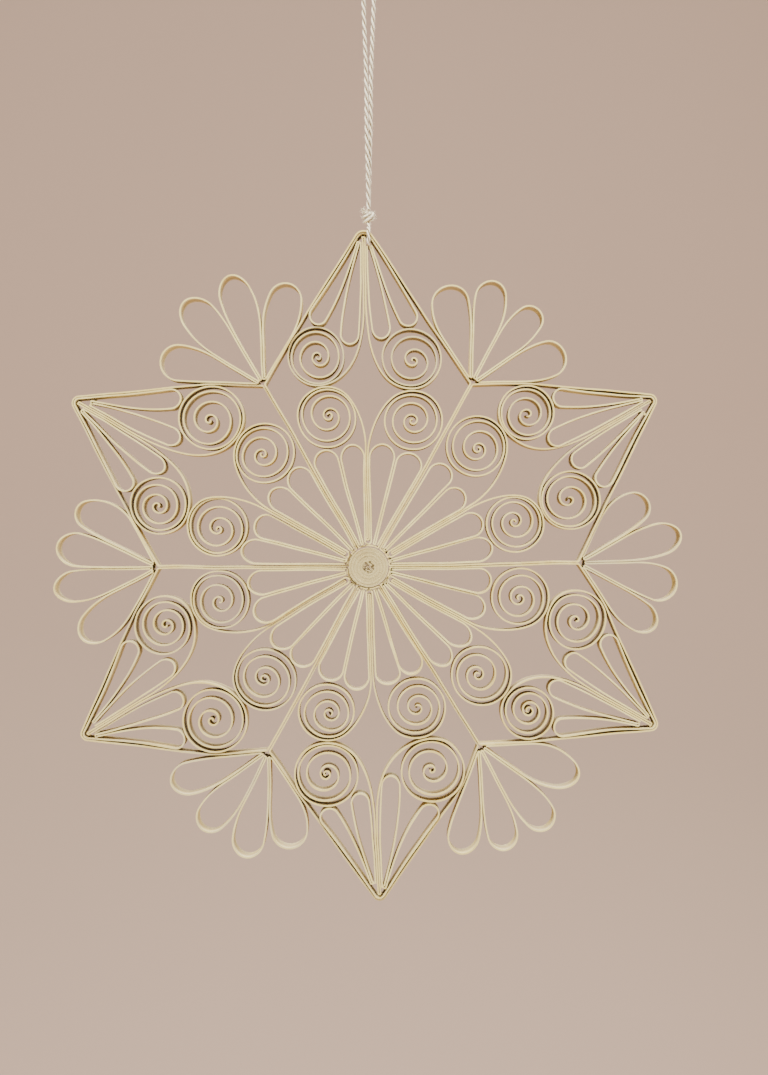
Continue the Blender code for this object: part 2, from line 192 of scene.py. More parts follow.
# The tight roll: the pitch of its turns, the loose turns in its eye, how far turns stand proud, the eye's
# radius, least radius and shift, and the angle where it begins
ROLL_PITCH = 0.00031
LOOSE_TURNS = 3
ROLL_RISE = 0.00014
EYE_RADIUS = 0.0004
EYE_LEAST = 0.00025
EYE_SHIFT = 0.00018
ROLL_START = 0.7

# The knot: its turns and the angle where they begin, how far their middle lies inside the solid's surface and
# its ends, how far they slant, and the half height of its core
KNOT_TURNS = 2.7
KNOT_START = 0.8
KNOT_INSET = 0.00045
KNOT_ENDS = 0.0013
KNOT_SLANT = 0.0004
KNOT_CORE = 0.0017

# The marks on the paper: how strongly each shows, and how it shades the red, green and blue beneath it.
# The crowded shade, shadow specks, seam shade, heart and rim shadows and inside shades are painted shade;
# the pale patches are partly painted highlight
CROWDED_SHADE = (0.75, (0.34, 0.24, 0.13))
SHADOW_SPECKS = (0.85, (0.2, 0.14, 0.08))
MOTTLE = (0.6, (0.88, 0.83, 0.68))
PALE_PATCHES_AND_HIGHLIGHTS = (0.8, (1.08, 1.11, 1.18))
FIBRES = (0.35, (0.82, 0.72, 0.55))
SEAM_SHADE = (0.34, (0.55, 0.47, 0.33))
HEART_SHADOW = (0.85, (0.12, 0.08, 0.04))
RIM_SHADOW = (0.8, (0.22, 0.15, 0.08))
# Painted shade deeper inside the strips: how it shades the cream paper, the pale paper and the roll
CREAM_INSIDE_SHADE = (0.5, 0.41, 0.28)
PALE_INSIDE_SHADE = (0.7, 0.62, 0.46)
ROLL_INSIDE_SHADE = (0.6, 0.5, 0.3)

# The noise behind each mark: its scale, detail and roughness, and the values between which the mark comes up
CLOUD_NOISE = (210, 3)
FIBRE_NOISE = (2600, 2, 0.7)
MOTTLE_NOISE = (110, 2)
SHADOW_SPECK_NOISE = (1000, 1)
SEAM_SHADE_NOISE = (240, 2)
SHADOWED_GAP_NOISE = (1300, 1)
CLOUD_RISE = (0.5, 0.72)
FIBRE_RISE = (0.6, 0.8)
MOTTLE_RISE = (0.48, 0.7)
SHADOW_SPECK_RISE = (0.5, 0.57)
SEAM_SHADE_RISE = (-0.1, 0.9)
HEART_SHADOW_RISE = (0.47, 0.54)
RIM_SHADOW_RISE = (0.48, 0.56)

# The distances over which the marks fade in, in depth and then out from the middle of the star, and the
# spacing of the roll's rings of painted shade
CUT_DEPTHS = (STRIP_DEPTH / 2 - 0.0006, STRIP_DEPTH / 2 - 0.00005)
INSIDE_SHADE_DEPTHS = (0.0034, 0.0006)
CROWDED_SHADE_DEPTHS = (0.0037, 0.0022)
CROWDED_SHADE_REACH = (0.027, 0.012)
SHADOW_SPECK_OUTSIDE = (0.0092, 0.0078)
SHADOW_SPECK_INSIDE = (0.0071, 0.0074)
HEART_SHADOW_REACH = (0.0021, 0.0017)
RIM_SHADOW_REACH = (HUB_RADIUS - 0.0003, HUB_RADIUS - 0.00005)
SEAM_SHADE_SPACING = 0.0009

# The cotton: how fast its fibres wind, and how its shadows, its bright spots and the painted shade in its
# valleys shade its colour
FIBRE_TWIST = 1900.0
COTTON_SHADOW = (0.86, 0.79, 0.66)
COTTON_BRIGHT = (1.06, 1.06, 1.06)
COTTON_VALLEY_SHADE = (0.3, 0.22, 0.12)

# The thread: its plies' radius and offset as shares of its diameter, the step along it, and its loose fibres
PLY_RADIUS = 0.265
PLY_OFFSET = 0.25
THREAD_STEP = 0.00035
FUZZ_DENSITY = 900000.0
FUZZ_THICKNESS = 0.00002
COARSE_FUZZ = 0.000034

# The camera: its lens in millimetres, and how far behind, right of and above the star's middle it stands
CAMERA_LENS = 59.16
CAMERA_BACK = 0.534
CAMERA_RIGHT = 0.00465
CAMERA_ABOVE = 0.00885


def heading(angle):
    return np.array([math.cos(angle), math.sin(angle)])


def left_of(direction):
    return np.array([-direction[1], direction[0]])


def length(vector):
    return float(np.hypot(vector[0], vector[1]))


def mirrored(points):
    """The same points on the other side of the axis, in reverse order."""
    return [np.array([u, -v]) for u, v in reversed(points)]


def solved(fault, low, high):
    """The value between low and high at which fault changes sign."""
    for _ in range(60):
        middle = (low + high) / 2
        if (fault(middle) > 0) == (fault(low) > 0):
            low = middle
        else:
            high = middle
    return (low + high) / 2


def arc(centre, radius, start, end):
    """Points along an arc, both ends included."""
    pieces = max(1, math.ceil(abs(end - start) / FINE_STEP - 1e-6))
    return [centre + radius * heading(a) for a in np.linspace(start, end, pieces + 1)]


def swing(start, start_way, end, end_way, handles, pieces=18):
    """A smooth bend between two directions, without its ends."""
    reach = length(end - start)
    first = start + handles[0] * reach * start_way
    second = end - handles[1] * reach * end_way
    bend = []
    for t in np.linspace(0, 1, pieces + 1)[1:-1]:
        s = 1 - t
        bend.append(s**3 * start + 3 * s * s * t * first + 3 * s * t * t * second + t**3 * end)
    return bend


class Hand:
    """How one maker's hand differs from the drawing: small repeatable changes for one strip."""

    def __init__(self, seed, index=0):
        self.picks = np.random.default_rng(seed)
        self.index = index

    def between(self, low, high):
        return float(self.picks.uniform(low, high))


def spiral(centre, radius, start, turn, hand):
    """A loose coil: its first turns lie close, its middle opens out, and its tight eye ends in a hook."""
    open_turns = hand.between(2.85, 3.3)
    gather = hand.between(1.4, 2.3)
    tight_turns = hand.between(0.35, 0.85)
    hook = hand.between(0.25, 0.4)
    shift = hand.between(0.0002, 0.0008) * heading(hand.between(0, 2 * math.pi))
    marks = np.arange(0, open_turns + tight_turns + hook, FINE_STEP / (2 * math.pi))
    radii = []
    for done in marks:
        if done < open_turns:
            radii.append(COIL_EYE_RADIUS + (radius - COIL_EYE_RADIUS) * (1 - (done / open_turns) ** gather))
        elif done < open_turns + tight_turns:
            radii.append(COIL_EYE_RADIUS * (1 - EYE_NARROWING * (done - open_turns) / tight_turns))
        else:
            end = HOOK_NARROWING * (done - open_turns - tight_turns) / hook
            radii.append(COIL_EYE_RADIUS * (1 - EYE_NARROWING - end))
    window = 2 * COIL_EASING + 1
    padded = [radii[0]] * COIL_EASING + radii + [radii[-1]] * COIL_EASING
    points = []
    for done, here in zip(marks, np.convolve(padded, np.ones(window) / window, "valid")):
        depth = max(0.0, min(1.0, (done - DRIFT_START) / DRIFT_TURNS))
        points.append(centre + depth * shift + here * heading(start + turn * 2 * math.pi * done))
    return points


def landing(root, way, centre, radius, turn):
    """The angle at which a loop's side, which leaves its root along way, comes onto the loop's bulb."""
    gap = centre - root
    straight = math.atan2(gap[1], gap[0]) - turn * math.asin(radius / length(gap))
    opening = math.remainder(math.atan2(way[1], way[0]) - straight, 2 * math.pi)
    return straight - SIDE_BOW * opening - turn * math.pi / 2


def loop(root_out, way_out, centre, radius, root_back, way_back):
    """A loop: out from one root, round a bulb, and back to the other root, its sides gently bowed."""
    axis = centre - (root_out + root_back) / 2
    across = root_back - root_out
    turn = 1 if axis[0] * across[1] > axis[1] * across[0] else -1
    start = landing(root_out, way_out, centre, radius, turn)
    end = landing(root_back, way_back, centre, radius, -turn)
    sweep = turn * ((turn * (end - start)) % (2 * math.pi))
    bulb = arc(centre, radius, start, start + sweep)
    onto = turn * left_of(heading(start))
    off = turn * left_of(heading(end))
    out = swing(root_out, way_out, bulb[0], onto, LOOP_HANDLES)
    back = swing(bulb[-1], off, root_back, -way_back, LOOP_HANDLES[::-1])
    return [root_out] + out + bulb + back + [root_back]


class Point:
    """The layout of one point of the star: u runs out from the hub, v to the left of it."""

    def __init__(self, hub=None, tip=None, bend=TIP_RADIUS):
        self.bend = bend
        self.hub_size = HUB_COIL_RADIUS
        self.tip_size = TIP_COIL_RADIUS
        self.ray = heading(SECTOR)
        self.inward = -left_of(self.ray)
        self.petal_root = max(HUB_RADIUS + 2.5 * PITCH, 3 * PITCH / math.sin(SECTOR / 2))
        self.petal_radius = solved(self.petal_fault, PITCH, PETAL_REACH / 2)
        self.petal_distance = PETAL_REACH - STRIP_THICKNESS / 2 - self.petal_radius
        self.petal_angle = math.asin((1.5 * PITCH + self.petal_radius) / self.petal_distance)
        self.hub_coil = self.hub_coil_centre()
        apart = HUB_COIL_RADIUS + TIP_COIL_RADIUS + PITCH
        aside = TIP_COIL_OFFSET - self.hub_coil[1]
        self.tip_coil = np.array([self.hub_coil[0] + math.sqrt(apart**2 - aside**2), TIP_COIL_OFFSET])
        if hub:
            self.hub_coil, self.hub_size = np.array(hub[:2]) * TENTH, hub[2] * TENTH
        if tip:
            self.tip_coil, self.tip_size = np.array(tip[:2]) * TENTH, tip[2] * TENTH
        close = self.hub_size + self.tip_size + PITCH - length(self.tip_coil - self.hub_coil)
        if close > 0:
            self.hub_size -= close / 2
            self.tip_size -= close / 2
        self.hub_size = min(self.hub_size, self.hub_coil @ self.inward - 1.5 * PITCH)
        self.tip_centre = np.array([POINT_REACH - STRIP_THICKNESS / 2 - self.bend, 0.0])
        gap = self.tip_centre - self.tip_coil
        narrowing = math.asin((self.tip_size + PITCH - self.bend) / length(gap))
        self.edge_angle = math.atan2(gap[1], gap[0]) - narrowing
        self.notch = NOTCH_REACH * self.ray + PITCH / 2 * self.inward
        out = self.tip_coil - self.notch
        self.notch_angle = math.atan2(out[1], out[0]) + math.asin((self.tip_size + PITCH) / length(out))
        if self.notch_angle > self.edge_angle + LEAST_BEND:
            self.shoulder = self.edge_bend()
        else:
            across = self.tip_centre - self.notch
            self.edge_angle = math.atan2(across[1], across[0]) + math.asin(self.bend / length(across))
            self.notch_angle = self.edge_angle
            self.shoulder = self.notch + length(across) / 2 * heading(self.edge_angle)
            room = (self.notch - self.tip_coil) @ left_of(heading(self.edge_angle))
            self.tip_size = min(self.tip_size, room - PITCH)
        self.apex = self.tip_centre + np.array([self.bend / math.sin(-self.edge_angle), 0.0])
        self.tie = self.tie_place()
        reach = self.tip_size + TEAR_RADIUS + PITCH
        aside = self.tip_coil[1] - INNER_TEAR_OFFSET
        self.inner_tear = np.array([self.tip_coil[0] + math.sqrt(reach**2 - aside**2), INNER_TEAR_OFFSET])

    def petal_fault(self, radius):
        distance = PETAL_REACH - STRIP_THICKNESS / 2 - radius
        angle = math.asin(min(1.0, (1.5 * PITCH + radius) / distance))
        return 2 * distance * math.sin(SECTOR / 2 - angle) - 2 * radius - PITCH

    def petal_centre(self, angle):
        return self.petal_distance * heading(angle)

    def outer_petal(self):
        """The petal beside the ray reaches out until it touches this point's own hub coil."""
        way = heading(SECTOR - self.petal_angle)
        apart = self.hub_size + self.petal_radius + PITCH
        aside = self.hub_coil @ left_of(way)
        touching = self.hub_coil @ way - math.sqrt(max(0.0, apart**2 - aside**2))
        shortest, longest = (share * self.petal_distance for share in PETAL_SHARES)
        return min(max(touching, shortest), longest) * way

    def hub_coil_centre(self):
        """It touches the frame along the ray, and the outer petal."""
        off_ray = (1.5 * PITCH + HUB_COIL_RADIUS) * self.inward
        petal = self.petal_centre(SECTOR - self.petal_angle)
        apart = HUB_COIL_RADIUS + self.petal_radius + PITCH
        along = (petal - off_ray) @ self.ray
        aside = (petal - off_ray) @ self.inward
        return off_ray + (along + math.sqrt(apart**2 - aside**2)) * self.ray

    def edge_bend(self):
        """Where the frame's edge turns a little as it passes round the tip coil."""
        first = heading(self.notch_angle)
        second = heading(self.edge_angle)
        touch = self.tip_coil + (self.tip_size + PITCH) * left_of(second)
        across = first[0] * second[1] - first[1] * second[0]
        offset = touch - self.notch
        along = (offset[0] * second[1] - offset[1] * second[0]) / across
        return self.notch + along * first

    def tie_place(self):
        """Where the thread passes through the tip."""
        aside = PITCH / 2 + STRIP_THICKNESS / 2 + THREAD_GAP + THREAD_DIAMETER / 2
        off_edge = PITCH + STRIP_THICKNESS / 2 + THREAD_GAP + THREAD_DIAMETER / 2
        below = (off_edge + aside * math.cos(self.edge_angle)) / math.sin(-self.edge_angle)
        return np.array([self.apex[0] - below, -aside])


POINT = Point()
SIDES = [(Point(*coils[:2], bend), Point(*coils[2:], bend)) for coils, bend in zip(COILS, TIP_BENDS)]
STAR_DROP = LOOP_DROP + TIE_LENGTH + length(POINT.tie)
MIDDLE = (0.0, 0.0, -STAR_DROP)
LEAN = math.atan2(POINT.tie[1], POINT.tie[0])


def frame_path(hand):
    """The outer strip of a point, a closed loop from the hub out to the tip and back."""
    hub_radius = HUB_RADIUS + (PITCH - STRIP_THICKNESS) + STRIP_THICKNESS / 2
    hub_angle = SECTOR - math.asin(PITCH / 2 / hub_radius)
    hub_arc = arc(np.zeros(2), hub_radius, 0, hub_angle)
    edges = []
    for side in SIDES[hand.index]:
        turn = side.notch_angle - side.edge_angle
        back = SHOULDER_RADIUS * math.tan(turn / 2)
        leave = side.shoulder - back * heading(side.notch_angle)
        rejoin = side.shoulder + back * heading(side.edge_angle)
        ways = heading(side.notch_angle), heading(side.edge_angle)
        bend = swing(leave, ways[0], rejoin, ways[1], SHOULDER_HANDLES, pieces=8)
        edges.append(hub_arc[1:] + [side.notch, leave] + bend + [rejoin])
    return hub_arc[:1] + edges[0] + tip_arch(hand.index, 0.0) + mirrored(edges[1])


def tip_arch(index, inset):
    """The round end of a tip, or of what lies inside it, from its left edge over to its right one."""
    left, right = SIDES[index]
    start = left.edge_angle + math.pi / 2
    return arc(left.tip_centre, left.bend - inset, start, -(right.edge_angle + math.pi / 2))


def petal_path(hand):
    """One strip folded into four petals at the hub, passing round the foot of the scroll."""
    middle = heading(SECTOR / 2)
    aside = left_of(middle)
    near = POINT.petal_root - HUB_CLOSENESS - FOLD_CLOSENESS
    inner_root = near * middle - PITCH / 2 * aside
    outer_root = near * middle + PITCH / 2 * aside
    end = near * POINT.ray + 1.5 * PITCH * POINT.inward
    stem_root = np.array([near + FOLD_CLOSENESS + PITCH, 1.5 * PITCH])
    halves = []
    for side in SIDES[hand.index]:
        outer = side.outer_petal()
        inner = side.petal_centre(side.petal_angle)
        outer_loop = loop(end, POINT.ray, outer, side.petal_radius, outer_root, middle)
        inner_loop = loop(inner_root, middle, inner, side.petal_radius, stem_root, heading(0))
        clear = side.hub_size + PITCH
        half = kept_off(swayed(outer_loop, end, hand, OUTER_PETAL_SWAY), end, side.hub_coil, clear)
        inner_loop = swayed(inner_loop, inner_root, hand, INNER_PETAL_SWAY)
        halves.append(half + kept_off(inner_loop, inner_root, side.hub_coil, clear))
    round_stem = arc(np.array([stem_root[0], 0.0]), stem_root[1], math.pi / 2, 3 * math.pi / 2)
    return halves[0] + round_stem[1:-1] + mirrored(halves[1])


def tear_path(hand):
    """One strip folded into four teardrops in the tip, passing over under the frame's arch."""
    arch = tip_arch(hand.index, PITCH)
    sides = []
    for side, room, landed in zip(SIDES[hand.index], (0.0, THREAD_DIAMETER), (arch[0], mirrored(arch)[0])):
        edge = heading(side.edge_angle)
        outward = left_of(edge)
        middle = heading(math.pi + side.edge_angle / 2)
        aside = left_of(middle)
        crowding = TEAR_CROWDING * PITCH / math.sin(-side.edge_angle / 2)
        apart = side.tip_size + TEAR_RADIUS + PITCH
        along = math.sqrt(apart**2 - (side.tip_size - TEAR_RADIUS) ** 2)
        outer = side.tip_coil + along * edge + (side.tip_size - TEAR_RADIUS) * outward
        root = side.apex + (crowding + room) * middle
        inner_root = root + PITCH / 2 * aside
        outer_root = root - PITCH / 2 * aside
        end = np.array([root[0], 1.5 * PITCH])
        inner_loop = loop(end, heading(math.pi), side.inner_tear, TEAR_RADIUS, inner_root, middle)
        clear = side.tip_size + PITCH
        half = kept_off(swayed(inner_loop, end, hand, TEAR_SWAY), end, side.tip_coil, clear)
        slack = hand.between(*TEAR_SLACK)
        outer_loop = loop(outer_root, middle, outer, TEAR_RADIUS, landed, -edge)[:-1]
        outer_loop = kept_off(outer_loop, outer_root, side.tip_coil, clear)
        run = length(landed - outer)
        for i, place in enumerate(outer_loop):
            share = (place - outer) @ edge / run
            if (place - outer) @ outward > 0.6 * TEAR_RADIUS and 0 < share < 1:
                outer_loop[i] = place - slack * math.sin(math.pi * share) * outward
        sides.append(half + outer_loop)
    return sides[0] + arch + mirrored(sides[1])


def hub_scroll_path(hand):
    """A strip folded at the hub: out along the axis, then each leg swings over into a coil."""
    legs = []
    for side in SIDES[hand.index]:
        foot = np.array([side.petal_root - HUB_CLOSENESS + 1.5 * PITCH, PITCH / 2])
        parting = np.array([HUB_STEM_REACH + side.hub_coil[0] - POINT.hub_coil[0], PITCH / 2])
        coil = spiral(side.hub_coil, side.hub_size, HUB_COIL_START, 1, hand)
        way = left_of(heading(HUB_COIL_START))
        legs.append([foot, parting] + swing(parting, heading(0), coil[0], way, HUB_LEG_SWING) + coil)
    return legs[0][::-1] + mirrored(legs[1][::-1])


def tip_scroll_path(hand):
    """A strip folded in the tip: back along the axis, then each leg swings under into a coil."""
    legs = []
    for side in SIDES[hand.index]:
        head = np.array([side.tip_centre[0] + side.bend - 3 * PITCH, PITCH / 2])
        parting = np.array([side.inner_tear[0] + TIP_STEM_RISE, PITCH / 2])
        coil = spiral(side.tip_coil, side.tip_size, TIP_COIL_START, -1, hand)
        way = -left_of(heading(TIP_COIL_START))
        legs.append([head, parting] + swing(parting, heading(math.pi), coil[0], way, TIP_LEG_SWING) + coil)
    return legs[0][::-1] + mirrored(legs[1][::-1])


def swayed(path, root, hand, sway):
    """The loop a little longer, leaner or more pointed than drawn, and its root in place."""
    stretch, turn, peak = sway
    point = hand.between(-0.25, 1.0) * peak
    longer = hand.between(-stretch, stretch / 4)
    lean = hand.between(-turn, turn)
    furthest = max(length(p - root) for p in path)
    moved = []
    for place in path:
        arm = place - root
        share = (length(arm) / furthest) ** 2
        angle = lean * share
        swung = math.cos(angle) * arm + math.sin(angle) * left_of(arm)
        moved.append(root + (1 + longer * share + point * max(0.0, share - 0.7) ** 2) * swung)
    return moved


def kept_off(path, root, centre, clear):
    """The loop drawn in towards its root until it only touches the coil beside it."""
    for _ in range(3):
        over = clear - min(length(place - centre) for place in path)
        if over <= 0:
            break
        arms = [place - root for place in path]
        furthest = max(length(arm) for arm in arms)
        path = [root + arm - over * (length(arm) / furthest) ** 2 / furthest * arm for arm in arms]
    return path


def fan_path(hand):
    """One strip bent into a fan of loops in a notch, laid out with u along the ray between two points."""
    before = SIDES[hand.index][0]
    after = SIDES[(hand.index + 1) % POINTS][1]
    turn = RAY_TURNS[hand.index]
    narrowest = SECTOR - POINT.notch_angle
    start = np.array([NOTCH_REACH - PITCH / 2 / math.tan(narrowest), 0.0])
    share = narrowest / FAN_LOOPS
    root = max(2 * PITCH / math.sin(share), 2.5 * PITCH / math.sin(2 * share)) / 2 + PITCH
    root *= FAN_CLOSENESS
    loops = FANS[hand.index]
    lowest, highest = before.notch_angle - SECTOR, SECTOR - after.notch_angle
    leans, centres, halves = [], [], []
    for lean, reach, radius in loops:
        half = math.asin((radius + FAN_ROOM) / (reach - radius))
        leans.append(min(max(math.radians(lean - turn), lowest + half), highest - half))
        centres.append(start + (reach - radius) * TENTH * heading(leans[-1]))
        halves.append(math.asin(radius / (reach - radius)))
    parting = [lowest]
    for i in range(FAN_LOOPS - 1):
        parting.append((leans[i] + halves[i] + leans[i + 1] - halves[i + 1]) / 2)
    parting.append(highest)
    path = []
    for i in range(FAN_LOOPS):
        low, high = heading(parting[i]), heading(parting[i + 1])
        low_root = start + root * low + (PITCH if i == 0 else PITCH / 2) * left_of(low)
        high_root = start + root * high - (PITCH if i == FAN_LOOPS - 1 else PITCH / 2) * left_of(high)
        glued = FAN_GLUED * length(centres[i] - start)
        low_end, high_end = low_root + glued * low, high_root + glued * high
        made = loop(low_end, low, centres[i], loops[i][2] * TENTH, high_end, high)
        path += swayed([low_root] + made + [high_root], start, hand, FAN_SWAY)
    return path


def eased(share):
    """From 0 to 1, level at both ends."""
    share = min(1.0, max(0.0, share))
    return share * share * (3 - 2 * share)


def by_hand(path, index):
    """The path of one point turned and stretched as that point is."""
    made = []
    for place in path:
        out = length(place)
        angle = math.atan2(place[1], place[0])
        ray = RAY_TURNS[index if angle > 0 else index - 1]
        aside = eased(abs(angle) / SECTOR)
        turn = math.radians(TIP_TURNS[index] * (1 - aside) + ray * aside)
        tip = (1 - aside) * eased((out - GROWTH_START) / GROWTH_RUN)
        grown = out + TIP_GROWTH[index] * TENTH * tip
        made.append(grown * heading(angle + turn))
    return made


def turned(path, angle):
    """The path turned about the star's middle."""
    out = heading(angle)
    return [u * out + v * left_of(out) for u, v in path]


def folded(path, closed, radius):
    """The path with each sharp turn rounded to a fold, and with points added along its straight runs."""
    count = len(path)
    made = []
    for i, place in enumerate(path):
        before = path[i - 1] if i or closed else None
        after = path[(i + 1) % count] if i + 1 < count or closed else None
        if before is None or after is None:
            made.append(place)
            continue
        into = place - before
        away = after - place
        reach = min(length(into), length(away))
        if reach < 1e-7:
            continue
        bend = math.atan2(into[0] * away[1] - into[1] * away[0], into @ away)
        if abs(bend) < FOLD_TURN:
            made.append(place)
            continue
        back = min(radius * math.tan(abs(bend) / 2), 0.49 * reach)
        true = back / math.tan(abs(bend) / 2)
        first = place - back * into / length(into)
        centre = first + true * math.copysign(1, bend) * left_of(into) / length(into)
        start = math.atan2(first[1] - centre[1], first[0] - centre[0])
        pieces = max(3, math.ceil(abs(bend) / FOLD_STEP))
        made += [centre + true * heading(start + bend * k / pieces) for k in range(pieces + 1)]
    spaced = []
    for i, place in enumerate(made):
        spaced.append(place)
        if i + 1 < len(made) or closed:
            gap = made[(i + 1) % len(made)] - place
            extra = math.floor(length(gap) / LONGEST_PIECE)
            spaced += [place + gap * k / (extra + 1) for k in range(1, extra + 1)]
    return spaced


def in_star(path, angle, depths):
    """Takes a path laid out along +u to its place in the hung star, as points (x, z, how far forward)."""
    out = heading(angle + math.pi / 2)
    side = left_of(out)
    points = []
    for i, (u, v) in enumerate(path):
        x, z = u * out + v * side
        leaned = (x * math.cos(LEAN) + z * math.sin(LEAN), z * math.cos(LEAN) - x * math.sin(LEAN))
        points.append((leaned[0], leaned[1] - STAR_DROP, depths[i]))
    return points


def smooth_route(stations, spacing):
    """Points at an even spacing along a smooth curve through the stations."""
    rows = [np.array(s, float) for s in stations]
    rows = [2 * rows[0] - rows[1]] + rows + [2 * rows[-1] - rows[-2]]
    fine = []
    for a, b, c, d in zip(rows, rows[1:], rows[2:], rows[3:]):
        for t in np.linspace(0, 1, ROUTE_PIECES, endpoint=False):
            cubic = (3 * b - a - 3 * c + d) * t**3
            square = (2 * a - 5 * b + 4 * c - d) * t**2
            fine.append(0.5 * (2 * b + (c - a) * t + square + cubic))
    fine.append(rows[-2])
    fine = np.array(fine)
    run = np.concatenate([[0], np.cumsum(np.linalg.norm(np.diff(fine, axis=0), axis=1))])
    marks = np.linspace(0, run[-1], max(2, round(run[-1] / spacing)) + 1)
    return [[float(np.interp(m, run, fine[:, k])) for k in range(3)] for m in marks]


def loop_stations():
    """The hanging loop: up from the knot, over whatever holds it, and back down beside itself."""
    half = (THREAD_DIAMETER + THREAD_GAP) / 2
    crown = THREAD_DIAMETER / 2
    foot = -LOOP_DROP + KNOT_HEIGHT / 2 + THREAD_GAP
    wide = THREAD_SPACING / 2
    rise = -foot
    left = [
        (0.0, -half, foot),
        (-0.3 * half, -half, foot + 0.14 * rise),
        (-0.8 * half, -0.8 * half, foot + 0.34 * rise),
        (-half, -0.2 * half, foot + 0.55 * rise),
        (-wide, 0.0, foot + 0.82 * rise),
        (-1.12 * wide, 0.0, foot + 0.94 * rise),
        (-0.75 * wide, 0.0, crown - 0.25 * wide),
    ]
    right = [(-x, -y, z) for x, y, z in reversed(left)]
    return left + [(0.0, 0.0, crown)] + right


def tie_stations(under):
    """The tie: from the knot down in front of the tip's strips, under them and up behind."""
    clear = THREAD_DIAMETER / 2 + THREAD_GAP
    front = STRIP_DEPTH / 2 + clear
    top = -LOOP_DROP - KNOT_HEIGHT / 2 - THREAD_GAP
    rise = top - under
    down = [
        (0.0, -0.55 * KNOT_RADIUS, top),
        (0.0, -0.5 * front, top - 0.2 * rise),
        (0.0, -0.95 * front, top - 0.42 * rise),
        (0.0, -front, top - 0.6 * rise),
        (0.0, -front, under + clear),
        (0.0, -front + 0.29 * clear, under + 0.29 * clear),
        (0.0, -front + 1.2 * clear, under),
    ]
    return down + [(0.0, 0.0, under)] + [(x, -y, z) for x, y, z in reversed(down)]


class Sum:
    """A number socket in a sum: each operator adds the node that works it out."""

    def __init__(self, build, socket):
        self.build = build
        self.socket = socket

    def worked(self, operation, first, second=None):
        values = {0: first} if second is None else {0: first, 1: second}
        return self.build.number("ShaderNodeMath", {"operation": operation}, values)

    def __add__(self, other):
        return self.worked("ADD", self, other)

    def __sub__(self, other):
        return self.worked("SUBTRACT", self, other)

    def __rsub__(self, other):
        return self.worked("SUBTRACT", other, self)

    def __mul__(self, other):
        return self.worked("MULTIPLY", self, other)

    def __truediv__(self, other):
        return self.worked("DIVIDE", self, other)

    __radd__ = __add__

    def size(self):
        return self.worked("ABSOLUTE", self)

    def sign(self):
        return self.worked("SIGN", self)

    def above(self, limit):
        return self.worked("GREATER_THAN", self, limit)

    def cosine(self):
        return self.worked("COSINE", self)

    def sine(self):
        return self.worked("SINE", self)

    def ramp(self, low, high):
        """0 at low and 1 at high, easing in and out."""
        settings = {"interpolation_type": "SMOOTHSTEP"}
        values = {"Value": self, "From Min": low, "From Max": high}
        return self.build.number("ShaderNodeMapRange", settings, values, "Result")


class Build:
    """Adds nodes to one tree."""

    def __init__(self, tree):
        self.tree = tree

    def fill(self, made, values):
        """Gives a node's sockets their values or links."""
        for name, value in values.items():
            if isinstance(value, Sum):
                value = value.socket
            if isinstance(value, bpy.types.NodeSocket):
                self.tree.links.new(value, made.inputs[name])
            else:
                made.inputs[name].default_value = value

    def node(self, kind, settings=None, values=None):
        """A node of a type: its settings first, then its sockets' values or links."""
        made = self.tree.nodes.new(kind)
        for name, value in (settings or {}).items():
            setattr(made, name, value)
        self.fill(made, values or {})
        return made

    def out(self, kind, settings=None, values=None, output=0):
        """What a new node gives out."""
        return self.node(kind, settings, values).outputs[output]

    def number(self, kind, settings=None, values=None, output=0):
        return Sum(self, self.out(kind, settings, values, output))

    def split(self, vector):
        """The three numbers of a vector."""
        return [Sum(self, socket) for socket in self.node("ShaderNodeSeparateXYZ", None, {0: vector}).outputs]

    def vector_of(self, *numbers):
        return self.out("ShaderNodeCombineXYZ", None, dict(enumerate(numbers)))

    def vector(self, operation, first, second):
        values = {0: first, "Scale" if operation == "SCALE" else 1: second}
        return self.out("ShaderNodeVectorMath", {"operation": operation}, values)

    def distance(self, first, second):
        return self.number("ShaderNodeVectorMath", {"operation": "DISTANCE"}, {0: first, 1: second}, "Value")

    def noise(self, place, scale, detail, roughness=0.5):
        values = {"Vector": place, "Scale": scale, "Detail": detail, "Roughness": roughness}
        return self.number("ShaderNodeTexNoise", None, values)

    def bump(self, strength, distance, height):
        values = {"Strength": strength, "Distance": distance, "Height": height}
        return self.out("ShaderNodeBump", None, values)

    def colour(self, factor, first, second):
        """Two colours mixed, either of them a colour or a link."""
        return self.out("ShaderNodeMix", {"data_type": "RGBA"}, {0: factor, 6: first, 7: second}, 2)

    def stored(self, shape, name, value, kind="FLOAT"):
        """The shape with a value kept on it under a name."""
        values = {0: shape, "Name": name, "Value": value}
        return self.out("GeometryNodeStoreNamedAttribute", {"data_type": kind}, values)

    def moved(self, shape, offset):
        return self.out("GeometryNodeSetPosition", None, {0: shape, "Offset": offset})

    def swept(self, curve, section):
        values = {"Curve": curve, "Profile Curve": section, "Fill Caps": True}
        return self.out("GeometryNodeCurveToMesh", None, values)

    def ring(self, sides, radius):
        return self.out("GeometryNodeCurvePrimitiveCircle", None, {"Resolution": sides, "Radius": radius})

    def together(self, shapes):
        joined = self.node("GeometryNodeJoinGeometry")
        for shape in shapes:
            self.fill(joined, {0: shape})
        return joined.outputs[0]


def finish(name, roughness):
    """A material with its one shader, ready for its nodes."""
    made = bpy.data.materials.new(name)
    made.use_nodes = True
    shader = made.node_tree.nodes["Principled BSDF"]
    shader.inputs["Roughness"].default_value = roughness
    shader.inputs["Specular IOR Level"].default_value = 0.3
    return made, Build(made.node_tree), shader


def shaded(colour, by):
    """The colour with each of its parts multiplied, as an opaque one."""
    return (*(min(1.0, a * b) for a, b in zip(colour, by)), 1)


def marked(build, tint, marks):
    """The tint with marks laid over it, each where it shows and in its own shade of a colour."""
    for where, colour, (strength, shade) in marks:
        tint = build.colour(where * strength, tint, shaded(colour, shade))
    return tint


